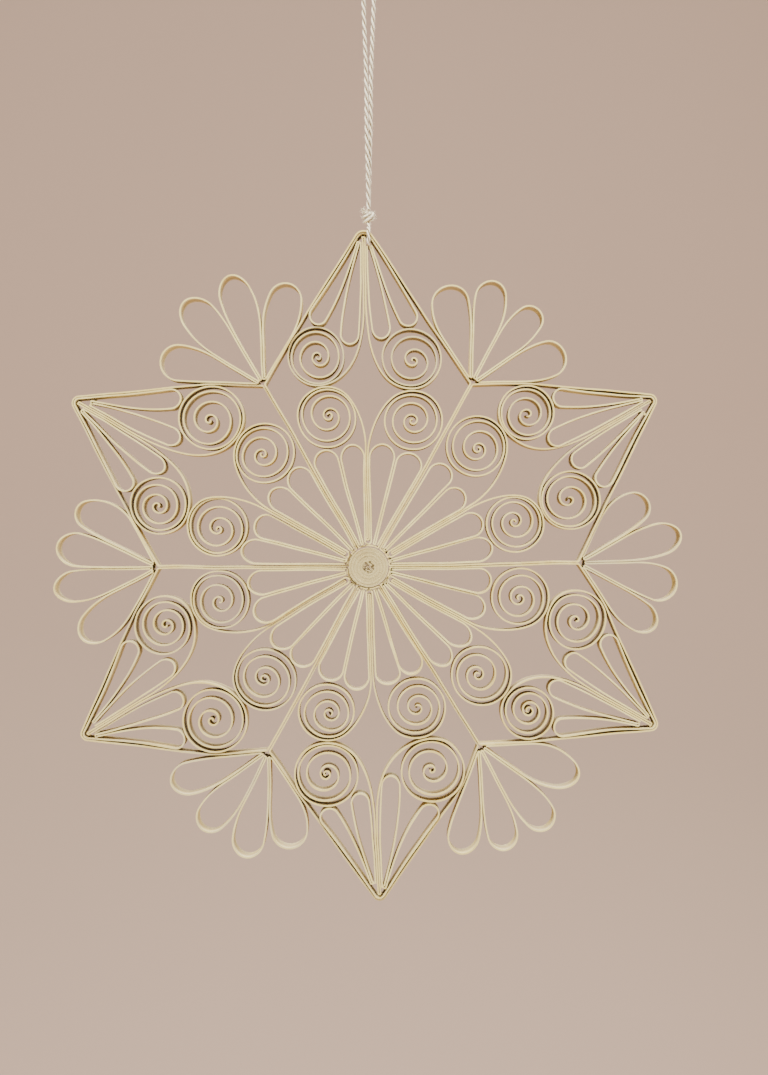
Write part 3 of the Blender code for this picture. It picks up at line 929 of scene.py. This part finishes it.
def paper(name, face, edge, inside_shade):
    """Uncoated quilling paper: mottled, with short fibres, its cut edges paler than its faces (partly the
    paper's own tone, partly painted shade on the faces), and painted shade darkening it deeper inside the
    star.
    """
    made, build, shader = finish(name, 0.8)
    place = build.out("ShaderNodeTexCoord", output="Object")
    tint, fibres, cloud = paper_tint(build, place, face, edge, inside_shade)
    build.fill(shader, {"Base Color": tint, **paper_tooth(build, fibres, cloud)})
    return made


def paper_tint(build, place, face, edge, inside_shade):
    """The colour of the paper, with its painted shade and painted highlight, and the noises that its surface
    uses too.
    """
    depth = build.split(place)[1].size()
    away = build.distance(place, MIDDLE)
    cut = depth.ramp(*CUT_DEPTHS)
    cloud = build.noise(place, *CLOUD_NOISE)
    fibres = build.noise(build.vector("MULTIPLY", place, (1.0, 0.25, 1.0)), *FIBRE_NOISE)
    beside_roll = away.ramp(*SHADOW_SPECK_OUTSIDE) * away.ramp(*SHADOW_SPECK_INSIDE)
    marks = (
        # Painted shade: the face darker deeper inside the strips' depth, where the gaps between strips lie in
        # shade
        (depth.ramp(*INSIDE_SHADE_DEPTHS), face, (0.8, inside_shade)),
        # Painted shade: the face darker near the hub and deep inside, where the crowded strips shade each
        # other
        (away.ramp(*CROWDED_SHADE_REACH) * depth.ramp(*CROWDED_SHADE_DEPTHS), face, CROWDED_SHADE),
        # Painted shadow: dark specks on the faces just beside the roll, where the narrow gaps lie in deep
        # shade
        (beside_roll * build.noise(place, *SHADOW_SPECK_NOISE).ramp(*SHADOW_SPECK_RISE), face, SHADOW_SPECKS),
        (build.noise(place, *MOTTLE_NOISE).ramp(*MOTTLE_RISE), edge, MOTTLE),
        # Paler, whiter patches on the cut edges: partly random tone of the paper, partly painted highlight
        (cloud.ramp(*CLOUD_RISE) * cut, edge, PALE_PATCHES_AND_HIGHLIGHTS),
        (fibres.ramp(*FIBRE_RISE), face, FIBRES),
    )
    # The faces are a darker tan than the cut edges: partly the paper's own tone, partly painted shade, as the
    # faces lie in the strips' shade
    tint = build.colour(cut, (*face, 1), (*edge, 1))
    return marked(build, tint, marks), fibres, cloud


def paper_tooth(build, fibres, cloud):
    """The fine unevenness of the paper's surface."""
    bump = build.bump(0.5, 0.00006, fibres * 0.6 + cloud * 0.4)
    return {"Normal": bump, "Roughness": 0.72 + fibres * 0.2}


def rolled_paper(name, settings):
    """The tight roll: dull edges packed side by side, with painted shade in rings between groups of turns and
    in dark specks at its eye and rim.
    """
    made, build, shader = finish(name, 0.85)
    place = build.out("ShaderNodeTexCoord", output="Object")
    edge = shaded(settings.edge, (0.96, 0.98, 1.2))[:3]
    tint, fibres, cloud = paper_tint(build, place, tuple(settings.face), edge, ROLL_INSIDE_SHADE)
    flat = build.vector("MULTIPLY", build.vector("SUBTRACT", place, MIDDLE), (1.0, 0.0, 1.0))
    out = build.number("ShaderNodeVectorMath", {"operation": "LENGTH"}, {0: flat}, "Value")
    wave = (out * (2 * math.pi / SEAM_SHADE_SPACING) + build.noise(place, *SEAM_SHADE_NOISE) * 2.5).cosine()
    shadowed_gaps = build.noise(place, *SHADOWED_GAP_NOISE)
    marks = (
        # Painted shade: dark rings between groups of turns, where the gaps between turns lie in shade
        (wave.ramp(*SEAM_SHADE_RISE), edge, SEAM_SHADE),
        # Painted shadow: dark specks in the roll's open eye, where the gaps between the loose turns lie in
        # shade
        (out.ramp(*HEART_SHADOW_REACH) * shadowed_gaps.ramp(*HEART_SHADOW_RISE), edge, HEART_SHADOW),
        # Painted shadow: dark specks round the roll's rim, where the gap to the strips lies in deep shade
        (out.ramp(*RIM_SHADOW_REACH) * shadowed_gaps.ramp(*RIM_SHADOW_RISE), edge, RIM_SHADOW),
    )
    build.fill(shader, {"Base Color": marked(build, tint, marks), **paper_tooth(build, fibres, cloud)})
    return made


def cotton(name, tone):
    """Cotton thread: fine fibres that wind along each ply, brighter on its crown than where plies meet, the
    darker valleys being painted shade.
    """
    made, build, shader = finish(name, 0.85)
    along = build.number("ShaderNodeAttribute", {"attribute_name": "along"}, None, "Fac")
    crown = build.number("ShaderNodeAttribute", {"attribute_name": "crown"}, None, "Fac")
    x, y, _ = build.split(build.out("ShaderNodeAttribute", {"attribute_name": "around"}, None, "Vector"))
    turn = along * FIBRE_TWIST
    across = x * turn.cosine() + y * turn.sine()
    other = y * turn.cosine() - x * turn.sine()
    fibres = build.noise(build.vector_of(across * 3.0, other * 3.0, along * 350.0), 1.6, 4, 0.65)
    soft = build.noise(build.out("ShaderNodeTexCoord", output="Object"), 420, 2)
    tint = build.colour(fibres.ramp(0.42, 0.68) * 0.7, (*tone, 1), shaded(tone, COTTON_SHADOW))
    tint = build.colour(soft.ramp(0.48, 0.7) * 0.6, tint, shaded(tone, COTTON_BRIGHT))
    # Painted shade: the valleys where the plies meet darker than their crowns
    tint = build.colour(crown.ramp(0.4, 0.92), shaded(tone, COTTON_VALLEY_SHADE), tint)
    sheen = {"Sheen Weight": 0.1, "Sheen Roughness": 0.5}
    build.fill(shader, {"Base Color": tint, "Normal": build.bump(0.7, 0.00008, fibres), **sheen})
    return made


def tree_inputs(tree, wanted):
    """Named inputs of a geometry tree, in order, with their defaults."""
    tree.interface.new_socket("Geometry", in_out="INPUT", socket_type="NodeSocketGeometry")
    for name, kind, default in wanted:
        made = tree.interface.new_socket(name, in_out="INPUT", socket_type=kind)
        if default is not None:
            made.default_value = default
    tree.interface.new_socket("Geometry", in_out="OUTPUT", socket_type="NodeSocketGeometry")
    build = Build(tree)
    return build, build.node("NodeGroupInput").outputs


def end_tree(build, mesh, material):
    """Every tree ends by making its mesh real and giving it its material."""
    real = build.out("GeometryNodeRealizeInstances", None, {0: mesh})
    done = build.out("GeometryNodeSetMaterial", None, {0: real, "Material": material})
    build.node("NodeGroupOutput", None, {0: done})


def crisp(build, mesh):
    """Smooth shading that stays sharp at the strip's edges."""
    smooth = build.out("GeometryNodeSetShadeSmooth", {"domain": "FACE"}, {0: mesh, "Shade Smooth": True})
    angle = build.out("GeometryNodeInputMeshEdgeAngle")
    settings = {"data_type": "FLOAT", "operation": "GREATER_THAN"}
    sharp = build.out("FunctionNodeCompare", settings, {0: angle, 1: math.radians(33)})
    values = {0: smooth, "Selection": sharp, "Shade Smooth": False}
    return build.out("GeometryNodeSetShadeSmooth", {"domain": "EDGE"}, values)


def strip_section(build, given):
    """The strip's cross-section: thickest inside and a little thinner at both cut edges."""
    values = {0: build.ring(8, 1.0), "Rotation": (0, 0, math.pi / 8)}
    ring = build.out("GeometryNodeTransform", None, values)
    across, up, _ = build.split(build.out("GeometryNodeInputPosition"))
    at_edge = up.size().above(0.6)
    body = Sum(build, given["Thickness"])
    thick = body + at_edge * (Sum(build, given["Edge thickness"]) - body)
    long = Sum(build, given["Depth"]) - (1.0 - at_edge) * Sum(build, given["Edge taper"]) * 2.0
    corner = build.vector_of(across.sign() * thick * 0.5, up.sign() * long * 0.5)
    return build.out("GeometryNodeSetPosition", None, {0: ring, "Position": corner})


def stray(build, settings, values, axes, reach):
    """How far a noise moves each point along each axis."""
    noise = build.out("ShaderNodeTexNoise", settings, {"Detail": 1.0, **values}, "Color")
    centred = build.vector("SUBTRACT", noise, (0.5, 0.5, 0.5))
    return build.vector("SCALE", build.vector("MULTIPLY", centred, axes), reach)


def strip_tree():
    """A paper strip standing on edge along a path drawn in the XY plane, turned up to face the front."""
    tree = bpy.data.node_groups.new("Paper strip", "GeometryNodeTree")
    wanted = [
        ("Depth", "NodeSocketFloat", STRIP_DEPTH),
        ("Thickness", "NodeSocketFloat", STRIP_THICKNESS),
        ("Edge thickness", "NodeSocketFloat", 0.00042),
        ("Edge taper", "NodeSocketFloat", 0.0008),
        ("Unevenness", "NodeSocketFloat", 0.0002),
        ("Edge waviness", "NodeSocketFloat", 0.00012),
        ("Own wander", "NodeSocketFloat", 0.00009),
        ("Seed", "NodeSocketFloat", 0.0),
        ("Material", "NodeSocketMaterial", None),
    ]
    build, given = tree_inputs(tree, wanted)
    curve = build.out("GeometryNodeMeshToCurve", None, {0: given[0]})
    place = build.out("GeometryNodeInputPosition")
    values = {"Vector": place, "Scale": 48.0}
    drift = stray(build, None, values, (2.0, 2.0, 1.0), given["Unevenness"])
    values = {"Vector": place, "W": given["Seed"], "Scale": 75.0}
    wander = stray(build, {"noise_dimensions": "4D"}, values, (2.0, 2.0, 0.0), given["Own wander"])
    curve = build.moved(curve, build.vector("ADD", drift, wander))
    curve = build.stored(curve, "along", build.out("GeometryNodeSplineParameter", output="Length"))
    curve = build.out("GeometryNodeSetCurveNormal", {"mode": "Z_UP"}, {0: curve})
    mesh = build.swept(curve, strip_section(build, given))
    x, y, z = build.split(build.out("GeometryNodeInputPosition"))
    ragged = build.noise(build.vector_of(x, y), 130.0, 3.0) - 0.5
    rise = ragged * 2.0 * Sum(build, given["Edge waviness"]) * z.sign()
    mesh = build.moved(mesh, build.vector_of(0.0, 0.0, rise))
    upright = {"Geometry": mesh, "Rotation": (math.pi / 2, 0, 0)}
    mesh = build.out("GeometryNodeTransform", None, upright)
    end_tree(build, crisp(build, mesh), given["Material"])
    return tree


def thread_tree():
    """A thread of plies wound round each other along a path, with loose fibres standing out of it."""
    tree = bpy.data.node_groups.new("Twisted thread", "GeometryNodeTree")
    wanted = [
        ("Diameter", "NodeSocketFloat", THREAD_DIAMETER),
        ("Twist length", "NodeSocketFloat", 0.0052),
        ("Fuzz density", "NodeSocketFloat", FUZZ_DENSITY),
        ("Fuzz length", "NodeSocketFloat", 0.0009),
        ("Fuzz thickness", "NodeSocketFloat", FUZZ_THICKNESS),
        ("Seed", "NodeSocketInt", 3),
        ("Material", "NodeSocketMaterial", None),
    ]
    build, given = tree_inputs(tree, wanted)
    path = build.out("GeometryNodeMeshToCurve", None, {0: given[0]})
    path = build.out("GeometryNodeResampleCurve", {"mode": "LENGTH"}, {0: path, "Length": THREAD_STEP})
    run = build.number("GeometryNodeSplineParameter", None, None, "Length")
    path = build.stored(path, "along", run)
    spot = build.out("GeometryNodeInputPosition")
    path = build.stored(path, "middle", spot, "FLOAT_VECTOR")
    normal = build.out("GeometryNodeInputNormal")
    binormal = build.vector("CROSS_PRODUCT", build.out("GeometryNodeInputTangent"), normal)
    diameter = Sum(build, given["Diameter"])
    round_it = build.number("GeometryNodeSplineParameter", None, None, "Factor") * (2 * math.pi)
    spoke = build.vector_of(round_it.cosine(), round_it.sine())
    ring = build.stored(build.ring(10, diameter * PLY_RADIUS), "around", spoke, "FLOAT_VECTOR")
    plies = []
    for ply in range(2):
        angle = run / Sum(build, given["Twist length"]) * (2 * math.pi) + math.pi * ply
        swing_out = build.vector("SCALE", normal, angle.cosine() * diameter * PLY_OFFSET)
        swing_side = build.vector("SCALE", binormal, angle.sine() * diameter * -PLY_OFFSET)
        wound = build.moved(path, build.vector("ADD", swing_out, swing_side))
        plies.append(build.swept(wound, ring))
    middle = build.out("GeometryNodeInputNamedAttribute", {"data_type": "FLOAT_VECTOR"}, {"Name": "middle"})
    crown = build.distance(spot, middle) / diameter * 2.0
    body = build.stored(build.together(plies), "crown", crown)
    body = build.out("GeometryNodeSetShadeSmooth", None, {0: body, "Shade Smooth": True})
    seed = {"Seed": given["Seed"]}
    values = {"Mesh": body, "Density": given["Fuzz density"], **seed}
    roots = build.node("GeometryNodeDistributePointsOnFaces", None, values)
    hair = fuzz(build, given["Fuzz length"], given["Fuzz thickness"])
    values = {0: (-0.9, -0.9, 0.0), 1: (0.9, 0.9, 6.28), **seed}
    lean = build.out("FunctionNodeRandomValue", {"data_type": "FLOAT_VECTOR"}, values)
    values = {0: roots.outputs["Rotation"], 1: build.out("FunctionNodeEulerToRotation", None, {0: lean})}
    way = build.out("FunctionNodeRotateRotation", {"rotation_space": "LOCAL"}, values)
    long = build.out("FunctionNodeRandomValue", {"data_type": "FLOAT"}, {2: 0.3, 3: 1.0, **seed}, 1)
    values = {"Points": roots.outputs[0], "Instance": hair, "Rotation": way, "Scale": long}
    hairs = build.out("GeometryNodeInstanceOnPoints", None, values)
    end_tree(build, build.together((body, hairs)), given["Material"])
    return tree


def fuzz(build, long, thick):
    """One loose fibre: a thin curved hair."""
    values = {
        "Resolution": 5,
        "Start": (0, 0, -0.05),
        "End": build.vector_of(0.35, 0.0, 0.8),
        "Start Handle": (0.0, 0.0, 0.5),
        "End Handle": (0.5, 0.2, 0.9),
    }
    line = build.out("GeometryNodeCurvePrimitiveBezierSegment", None, values)
    line = build.out("GeometryNodeTransform", None, {0: line, "Scale": build.vector_of(long, long, long)})
    return build.stored(build.swept(line, build.ring(3, thick)), "crown", 1.0)


def placed(name, data):
    """A new object with its data, in the scene."""
    made = bpy.data.objects.new(name, data)
    bpy.context.scene.collection.objects.link(made)
    return made


def run_tree(tree, name, points, closed, values):
    """Runs a geometry tree along a line of points and keeps its result as a plain mesh object."""
    line = bpy.data.meshes.new(name)
    edges = [(i, i + 1) for i in range(len(points) - 1)]
    if closed:
        edges.append((len(points) - 1, 0))
    line.from_pydata(points, edges, [])
    made = placed(name, line)
    shape = made.modifiers.new("Shape", "NODES")
    shape.node_group = tree
    for item in tree.interface.items_tree:
        if item.item_type == "SOCKET" and item.in_out == "INPUT" and item.name in values:
            shape[item.identifier] = values[item.name]
    evaluated = made.evaluated_get(bpy.context.evaluated_depsgraph_get())
    mesh = bpy.data.meshes.new_from_object(evaluated)
    if not mesh.polygons:
        raise RuntimeError(f"{name} came out empty")
    made.modifiers.clear()
    made.data = mesh
    mesh.name = name
    return made


def stand_in(made, nodes):
    """The finished piece rides on the one body and takes the place of its solids."""
    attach(made, "root")
    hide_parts(*nodes)


def length_setting(name, description, default):
    return bpy.props.FloatProperty(name=name, description=description, default=default, unit="LENGTH")


def colour_setting(name, description, default):
    settings = {"name": name, "description": description, "default": default}
    return bpy.props.FloatVectorProperty(**settings, subtype="COLOR")


class PaperSettings(bpy.types.PropertyGroup):
    depth: length_setting("Strip width", "Width of the paper strip", STRIP_DEPTH)
    thickness: length_setting("Strip thickness", "Thickness inside the strip", STRIP_THICKNESS)
    edge_thickness: length_setting("Edge thickness", "Thickness at the strip's cut edges", 0.00046)
    unevenness: length_setting("Unevenness", "How far the strips stray from the drawing", 0.00045)
    waviness: length_setting("Edge waviness", "How far the edges stand proud", 0.00022)
    wander: length_setting("Own wander", "How far each strip strays from its neighbours", 0.0001)
    # The faces' colours are darker than the cut edges': partly the paper's own tone, partly painted shade
    face: colour_setting("Face", "Colour of the strip's face", (0.60, 0.50, 0.26))
    edge: colour_setting("Cut edge", "Colour of the strip's cut edge", (0.78, 0.63, 0.23))
    inner_face: colour_setting("Inner face", "Face of the petals, teardrops and fans", (0.64, 0.54, 0.30))
    inner_edge: colour_setting("Inner edge", "Cut edge of the petals, teardrops and fans", (0.80, 0.67, 0.27))


class ThreadSettings(bpy.types.PropertyGroup):
    diameter: length_setting("Diameter", "Thickness of the thread", THREAD_DIAMETER)
    twist: length_setting("Twist length", "Length of one whole turn of a ply", 0.0058)
    fuzz: length_setting("Fuzz", "Length of the loose fibres", 0.0011)
    colour: colour_setting("Colour", "Colour of the cotton", (0.96, 0.88, 0.67))


class StageSettings(bpy.types.PropertyGroup):
    drop: length_setting("Floor drop", "How far the floor is below the loop", 0.8)
    colour: colour_setting("Backdrop", "Colour of the floor and wall", (0.69, 0.50, 0.375))
    light: bpy.props.FloatProperty(name="Light", description="Power of the main light in watts", default=50.0)


def paper_material(name, settings):
    """The cream paper of the frames and scrolls, or the paler one of the loops."""
    if name in bpy.data.materials:
        return bpy.data.materials[name]
    if name == "cream paper":
        return paper(name, tuple(settings.face), tuple(settings.edge), CREAM_INSIDE_SHADE)
    return paper(name, tuple(settings.inner_face), tuple(settings.inner_edge), PALE_INSIDE_SHADE)


def tree_named(name, maker):
    return bpy.data.node_groups.get(name) or maker()


def lay_strip(name, nodes, slot, path, closed, angle, fold, settings, seed):
    """One paper strip along its path, in place of its solid, a little proud of the others or below them."""
    line = folded(path, closed, fold)
    hand = Hand(seed + 100)
    shift = hand.between(-STRIP_SHIFT, STRIP_SHIFT)
    roll = hand.between(*STRIP_ROLL)
    phase = hand.between(0, 2 * math.pi)
    waves = 2 * math.pi * (CLOSED_ROLLS if closed else OPEN_ROLLS) / len(line)
    depths = [shift + roll * math.sin(waves * i + phase) for i in range(len(line))]
    values = {
        "Depth": settings.depth,
        "Thickness": settings.thickness,
        "Edge thickness": settings.edge_thickness,
        "Unevenness": settings.unevenness,
        "Edge waviness": settings.waviness,
        "Own wander": settings.wander,
        "Seed": 7.3 * seed,
        "Material": paper_material(slot.replace("_", " "), settings),
    }
    tree = tree_named("Paper strip", strip_tree)
    stand_in(run_tree(tree, name, in_star(line, angle, depths), closed, values), nodes)


def lay_ring(context, kind, label, slot, path_of, fold, first_seed, closed=False, turn=0.0):
    """The six strips of one kind, each with its own hand."""
    for i in range(POINTS):
        seed = first_seed + i
        path = path_of(Hand(seed, i))
        if kind == "fan":
            node = f"fan_{i + 1}"
            path = turned(path, math.radians(RAY_TURNS[i]))
        else:
            node = f"point_{i + 1}_{kind}"
            path = by_hand(path, i)
        angle = 2 * SECTOR * i + turn
        settings = context.scene.ornament_paper
        lay_strip(f"{label}_{i + 1}", [node], slot, path, closed, angle, fold, settings, seed)
    return {"FINISHED"}


class ORNAMENT_OT_frames(bpy.types.Operator):
    """Lays the outer strip of each point"""

    bl_idname = "ornament.frames"
    bl_label = "Outer strips"

    def execute(self, context):
        return lay_ring(
            context, "frame", "outer_strip", "cream_paper", frame_path, FRAME_FOLD, 10, closed=True
        )


class ORNAMENT_OT_petals(bpy.types.Operator):
    """Folds the petals round the hub"""

    bl_idname = "ornament.petals"
    bl_label = "Petals"

    def execute(self, context):
        return lay_ring(context, "petals", "petal_strip", "pale_paper", petal_path, LOOP_FOLD, 20)


class ORNAMENT_OT_teardrops(bpy.types.Operator):
    """Folds the teardrops in each tip"""

    bl_idname = "ornament.teardrops"
    bl_label = "Teardrops"

    def execute(self, context):
        return lay_ring(context, "teardrops", "teardrop_strip", "pale_paper", tear_path, LOOP_FOLD, 30)


class ORNAMENT_OT_hub_scrolls(bpy.types.Operator):
    """Rolls the scrolls that rise from the hub"""

    bl_idname = "ornament.hub_scrolls"
    bl_label = "Hub scrolls"

    def execute(self, context):
        return lay_ring(context, "hub_scroll", "hub_coils", "cream_paper", hub_scroll_path, LOOP_FOLD, 40)


class ORNAMENT_OT_tip_scrolls(bpy.types.Operator):
    """Rolls the scrolls that hang from each tip"""

    bl_idname = "ornament.tip_scrolls"
    bl_label = "Tip scrolls"

    def execute(self, context):
        return lay_ring(context, "tip_scroll", "tip_coils", "cream_paper", tip_scroll_path, LOOP_FOLD, 50)


class ORNAMENT_OT_fans(bpy.types.Operator):
    """Bends the fans of loops in the notches"""

    bl_idname = "ornament.fans"
    bl_label = "Fans"

    def execute(self, context):
        return lay_ring(context, "fan", "fan_strip", "pale_paper", fan_path, FAN_FOLD, 60, turn=SECTOR)


def roll_path(hand):
    """The strip of the tight roll from its rim inwards, with how far each turn of it stands proud."""
    turns = (HUB_RADIUS - HUB_LOOSE_RADIUS) / ROLL_PITCH
    rises = [hand.between(-ROLL_RISE, ROLL_RISE) for _ in range(math.ceil(turns) + LOOSE_TURNS + 2)]
    path, depths = [], []
    for done in np.arange(0, turns + LOOSE_TURNS, ROLL_STEP):
        if done < turns:
            radius = HUB_RADIUS + HUB_SPREAD * (1 - done / turns) - ROLL_PITCH / 2 - ROLL_PITCH * done
        else:
            opening = (HUB_LOOSE_RADIUS - EYE_RADIUS) * (done - turns) / LOOSE_TURNS
            radius = HUB_LOOSE_RADIUS - ROLL_PITCH / 2 - opening
        shift = EYE_SHIFT * max(0.0, done - turns) / LOOSE_TURNS
        way = heading(2 * math.pi * done + ROLL_START)
        path.append(max(radius, EYE_LEAST) * way + np.array([shift, -shift]))
        whole = int(done)
        share = done - whole
        depths.append((1 - share) * rises[whole] + share * rises[whole + 1])
    return path, depths


class ORNAMENT_OT_hub(bpy.types.Operator):
    """Rolls the tight disc at the centre from one long strip"""

    bl_idname = "ornament.hub"
    bl_label = "Tight roll"

    def execute(self, context):
        settings = context.scene.ornament_paper
        path, depths = roll_path(Hand(70))
        values = {
            "Depth": settings.depth,
            "Thickness": ROLL_PITCH * 0.97,
            "Edge thickness": ROLL_PITCH * 0.72,
            "Edge taper": 0.0004,
            "Own wander": 0.0,
            "Unevenness": settings.unevenness,
            "Edge waviness": 0.00008,
            "Material": bpy.data.materials.get("rolled paper") or rolled_paper("rolled paper", settings),
        }
        tree = tree_named("Paper strip", strip_tree)
        made = run_tree(tree, "rolled_hub", in_star(path, 0.0, depths), False, values)
        stand_in(made, ["hub_roll"])
        return {"FINISHED"}


def lay_thread(name, route, settings, share, fuzz, seed):
    """One length of twisted thread along a route, its thickness and fuzz as shares of the whole thread's."""
    colour = tuple(settings.colour)
    values = {
        "Diameter": settings.diameter * share,
        "Twist length": settings.twist * share,
        "Fuzz density": FUZZ_DENSITY * fuzz,
        "Fuzz length": settings.fuzz,
        "Fuzz thickness": FUZZ_THICKNESS if fuzz < 2 else COARSE_FUZZ,
        "Seed": seed,
        "Material": bpy.data.materials.get("cotton thread") or cotton("cotton thread", colour),
    }
    return run_tree(tree_named("Twisted thread", thread_tree), name, route, False, values)


def joined_as(name, parts):
    """Several meshes as one object, all of it in the first one's material."""
    whole = bmesh.new()
    for part in parts:
        whole.from_mesh(part.data)
    for face in whole.faces:
        face.material_index = 0
    mesh = bpy.data.meshes.new(name)
    whole.to_mesh(mesh)
    whole.free()
    used = [material for material in parts[0].data.materials if material]
    mesh.materials.append(used[0])
    for part in parts:
        bpy.data.objects.remove(part)
    return placed(name, mesh)


def knot_route():
    """The thread wound round the knot's core, widest at its middle."""
    route = []
    for t in np.linspace(0, 1, 60):
        angle = 2 * math.pi * KNOT_TURNS * t + KNOT_START
        out = (KNOT_RADIUS - KNOT_INSET) * (0.75 + 0.25 * math.sin(math.pi * t))
        height = (t - 0.5) * (KNOT_HEIGHT - KNOT_ENDS) + KNOT_SLANT * math.sin(angle + 0.6)
        route.append((out * math.cos(angle), out * math.sin(angle), height - LOOP_DROP))
    return route


def tail_route(side):
    """One short cut end that leaves the knot on the left, forward or back."""
    root = Vector((0, 0, -LOOP_DROP + 0.0006))
    way = Vector((-1.0, 0.55 * side, 0.75)).normalized()
    bend = Vector((0.2, -0.5 * side, 0.6))
    return [tuple(root + way * (0.0009 + 0.0017 * t) + bend * 0.0004 * t * t) for t in np.linspace(0, 1, 9)]


class ORNAMENT_OT_thread(bpy.types.Operator):
    """Hangs the twisted thread, ties it through the top tip and knots it"""

    bl_idname = "ornament.thread"
    bl_label = "Thread and knot"

    def execute(self, context):
        settings = context.scene.ornament_thread
        core = [(0.0, 0.0, -LOOP_DROP + h) for h in np.linspace(-KNOT_CORE, KNOT_CORE, 8)]
        parts = [
            lay_thread("knot_turns", knot_route(), settings, share=1.15, fuzz=6.0, seed=5),
            lay_thread("knot_core", core, settings, share=0.9, fuzz=0.2, seed=6),
        ]
        for side in (-1, 1):
            tail = tail_route(side)
            parts.append(lay_thread(f"tail_{side}", tail, settings, share=0.62, fuzz=14.0, seed=7 + side))
        knot = joined_as("tied_knot", parts)
        stand_in(knot, ["thread_knot"])
        tie_route = smooth_route(tie_stations(-LOOP_DROP - TIE_LENGTH), spacing=0.0004)
        tie = lay_thread("tied_thread", tie_route, settings, share=0.85, fuzz=0.8, seed=11)
        stand_in(tie, ["tie_thread"])
        route = smooth_route(loop_stations(), spacing=0.0005)
        loop_piece = lay_thread("hanging_thread", route, settings, share=1.0, fuzz=1.0, seed=3)
        stand_in(loop_piece, ["hanging_loop"])
        return {"FINISHED"}


def set_camera():
    """The camera stands straight in front, a little above and beside the star's middle."""
    camera = bpy.data.cameras.new("camera")
    camera.sensor_width = 36
    camera.lens = CAMERA_LENS
    camera.clip_start = 0.01
    viewer = placed("camera", camera)
    viewer.location = (CAMERA_RIGHT, -CAMERA_BACK, -STAR_DROP + CAMERA_ABOVE)
    viewer.rotation_euler = (math.pi / 2, 0, 0)
    bpy.context.scene.camera = viewer


def set_backdrop(settings):
    """A floor that bends up into a wall, with faint clouds in its colour."""
    floor, wall, bend, half, height = -settings.drop, 1.9, 0.8, 4.0, 5.0
    section = [(-half, floor)]
    for a in np.linspace(0, math.pi / 2, 13):
        section.append((wall - bend + bend * math.sin(a), floor + bend - bend * math.cos(a)))
    section.append((wall, floor + height))
    sweep = bmesh.new()
    rows = [[sweep.verts.new((x, y, z)) for y, z in section] for x in (-half, half)]
    for i in range(len(section) - 1):
        sweep.faces.new((rows[0][i], rows[1][i], rows[1][i + 1], rows[0][i + 1])).smooth = True
    mesh = bpy.data.meshes.new("floor_and_wall")
    sweep.to_mesh(mesh)
    sweep.free()
    matt, build, shader = finish("backdrop", 0.9)
    cloud = build.noise(build.out("ShaderNodeTexCoord", output="Object"), 2.2, 2)
    tone = tuple(settings.colour)
    tint = build.colour(cloud, (*tone, 1), shaded(tone, (0.95, 0.95, 0.95)))
    build.fill(shader, {"Base Color": tint})
    mesh.materials.append(matt)
    placed("floor_and_wall", mesh)


def soft_light(name, place, size, power):
    """A large square light that faces the star and that the camera doesn't see."""
    lamp = bpy.data.lights.new(name, "AREA")
    lamp.size = size
    lamp.energy = power
    made = placed(name, lamp)
    made.location = place
    made.rotation_euler = (Vector(MIDDLE) - Vector(place)).to_track_quat("-Z", "Y").to_euler()
    made.visible_camera = False


def set_room():
    """The faint light that comes from all sides."""
    world = bpy.data.worlds.new("soft room")
    world.use_nodes = True
    glow = world.node_tree.nodes["Background"]
    glow.inputs["Color"].default_value = (0.80, 0.76, 0.72, 1)
    glow.inputs["Strength"].default_value = 0.45
    bpy.context.scene.world = world


class ORNAMENT_OT_stage(bpy.types.Operator):
    """Sets the camera, the plain floor and wall, and the soft lights"""

    bl_idname = "ornament.stage"
    bl_label = "Stage"

    def execute(self, context):
        settings = context.scene.ornament_stage
        set_camera()
        set_backdrop(settings)
        soft_light("main light", (-0.3, -0.6, 0.95), 0.8, settings.light)
        soft_light("side light", (0.95, -0.6, 0.0), 0.9, settings.light * 0.25)
        soft_light("back light", (0.2, 0.8, 0.6), 0.8, settings.light * 0.3)
        set_room()
        return {"FINISHED"}


class ORNAMENT_PT_panel(bpy.types.Panel):
    """The ornament's pieces and settings"""

    bl_label = "Quilled ornament"
    bl_idname = "ORNAMENT_PT_panel"
    bl_space_type = "VIEW_3D"
    bl_region_type = "UI"
    bl_category = "Ornament"

    def draw(self, context):
        for operator in STEPS:
            self.layout.operator(operator.bl_idname)
        for group in ("ornament_paper", "ornament_thread", "ornament_stage"):
            settings = getattr(context.scene, group)
            for name in type(settings).__annotations__:
                self.layout.prop(settings, name)


STEPS = (
    ORNAMENT_OT_stage,
    ORNAMENT_OT_thread,
    ORNAMENT_OT_frames,
    ORNAMENT_OT_petals,
    ORNAMENT_OT_teardrops,
    ORNAMENT_OT_hub_scrolls,
    ORNAMENT_OT_tip_scrolls,
    ORNAMENT_OT_fans,
    ORNAMENT_OT_hub,
)
SETTINGS = (
    ("ornament_paper", PaperSettings),
    ("ornament_thread", ThreadSettings),
    ("ornament_stage", StageSettings),
)


def register():
    for name, group in SETTINGS:
        bpy.utils.register_class(group)
        setattr(bpy.types.Scene, name, bpy.props.PointerProperty(type=group))
    for operator in STEPS:
        bpy.utils.register_class(operator)
    bpy.utils.register_class(ORNAMENT_PT_panel)


def unregister():
    bpy.utils.unregister_class(ORNAMENT_PT_panel)
    for operator in reversed(STEPS):
        bpy.utils.unregister_class(operator)
    for name, group in reversed(SETTINGS):
        delattr(bpy.types.Scene, name)
        bpy.utils.unregister_class(group)


def main():
    register()
    for operator in STEPS:
        group, name = operator.bl_idname.split(".")
        getattr(getattr(bpy.ops, group), name)()


if __name__ == "__main__":
    main()
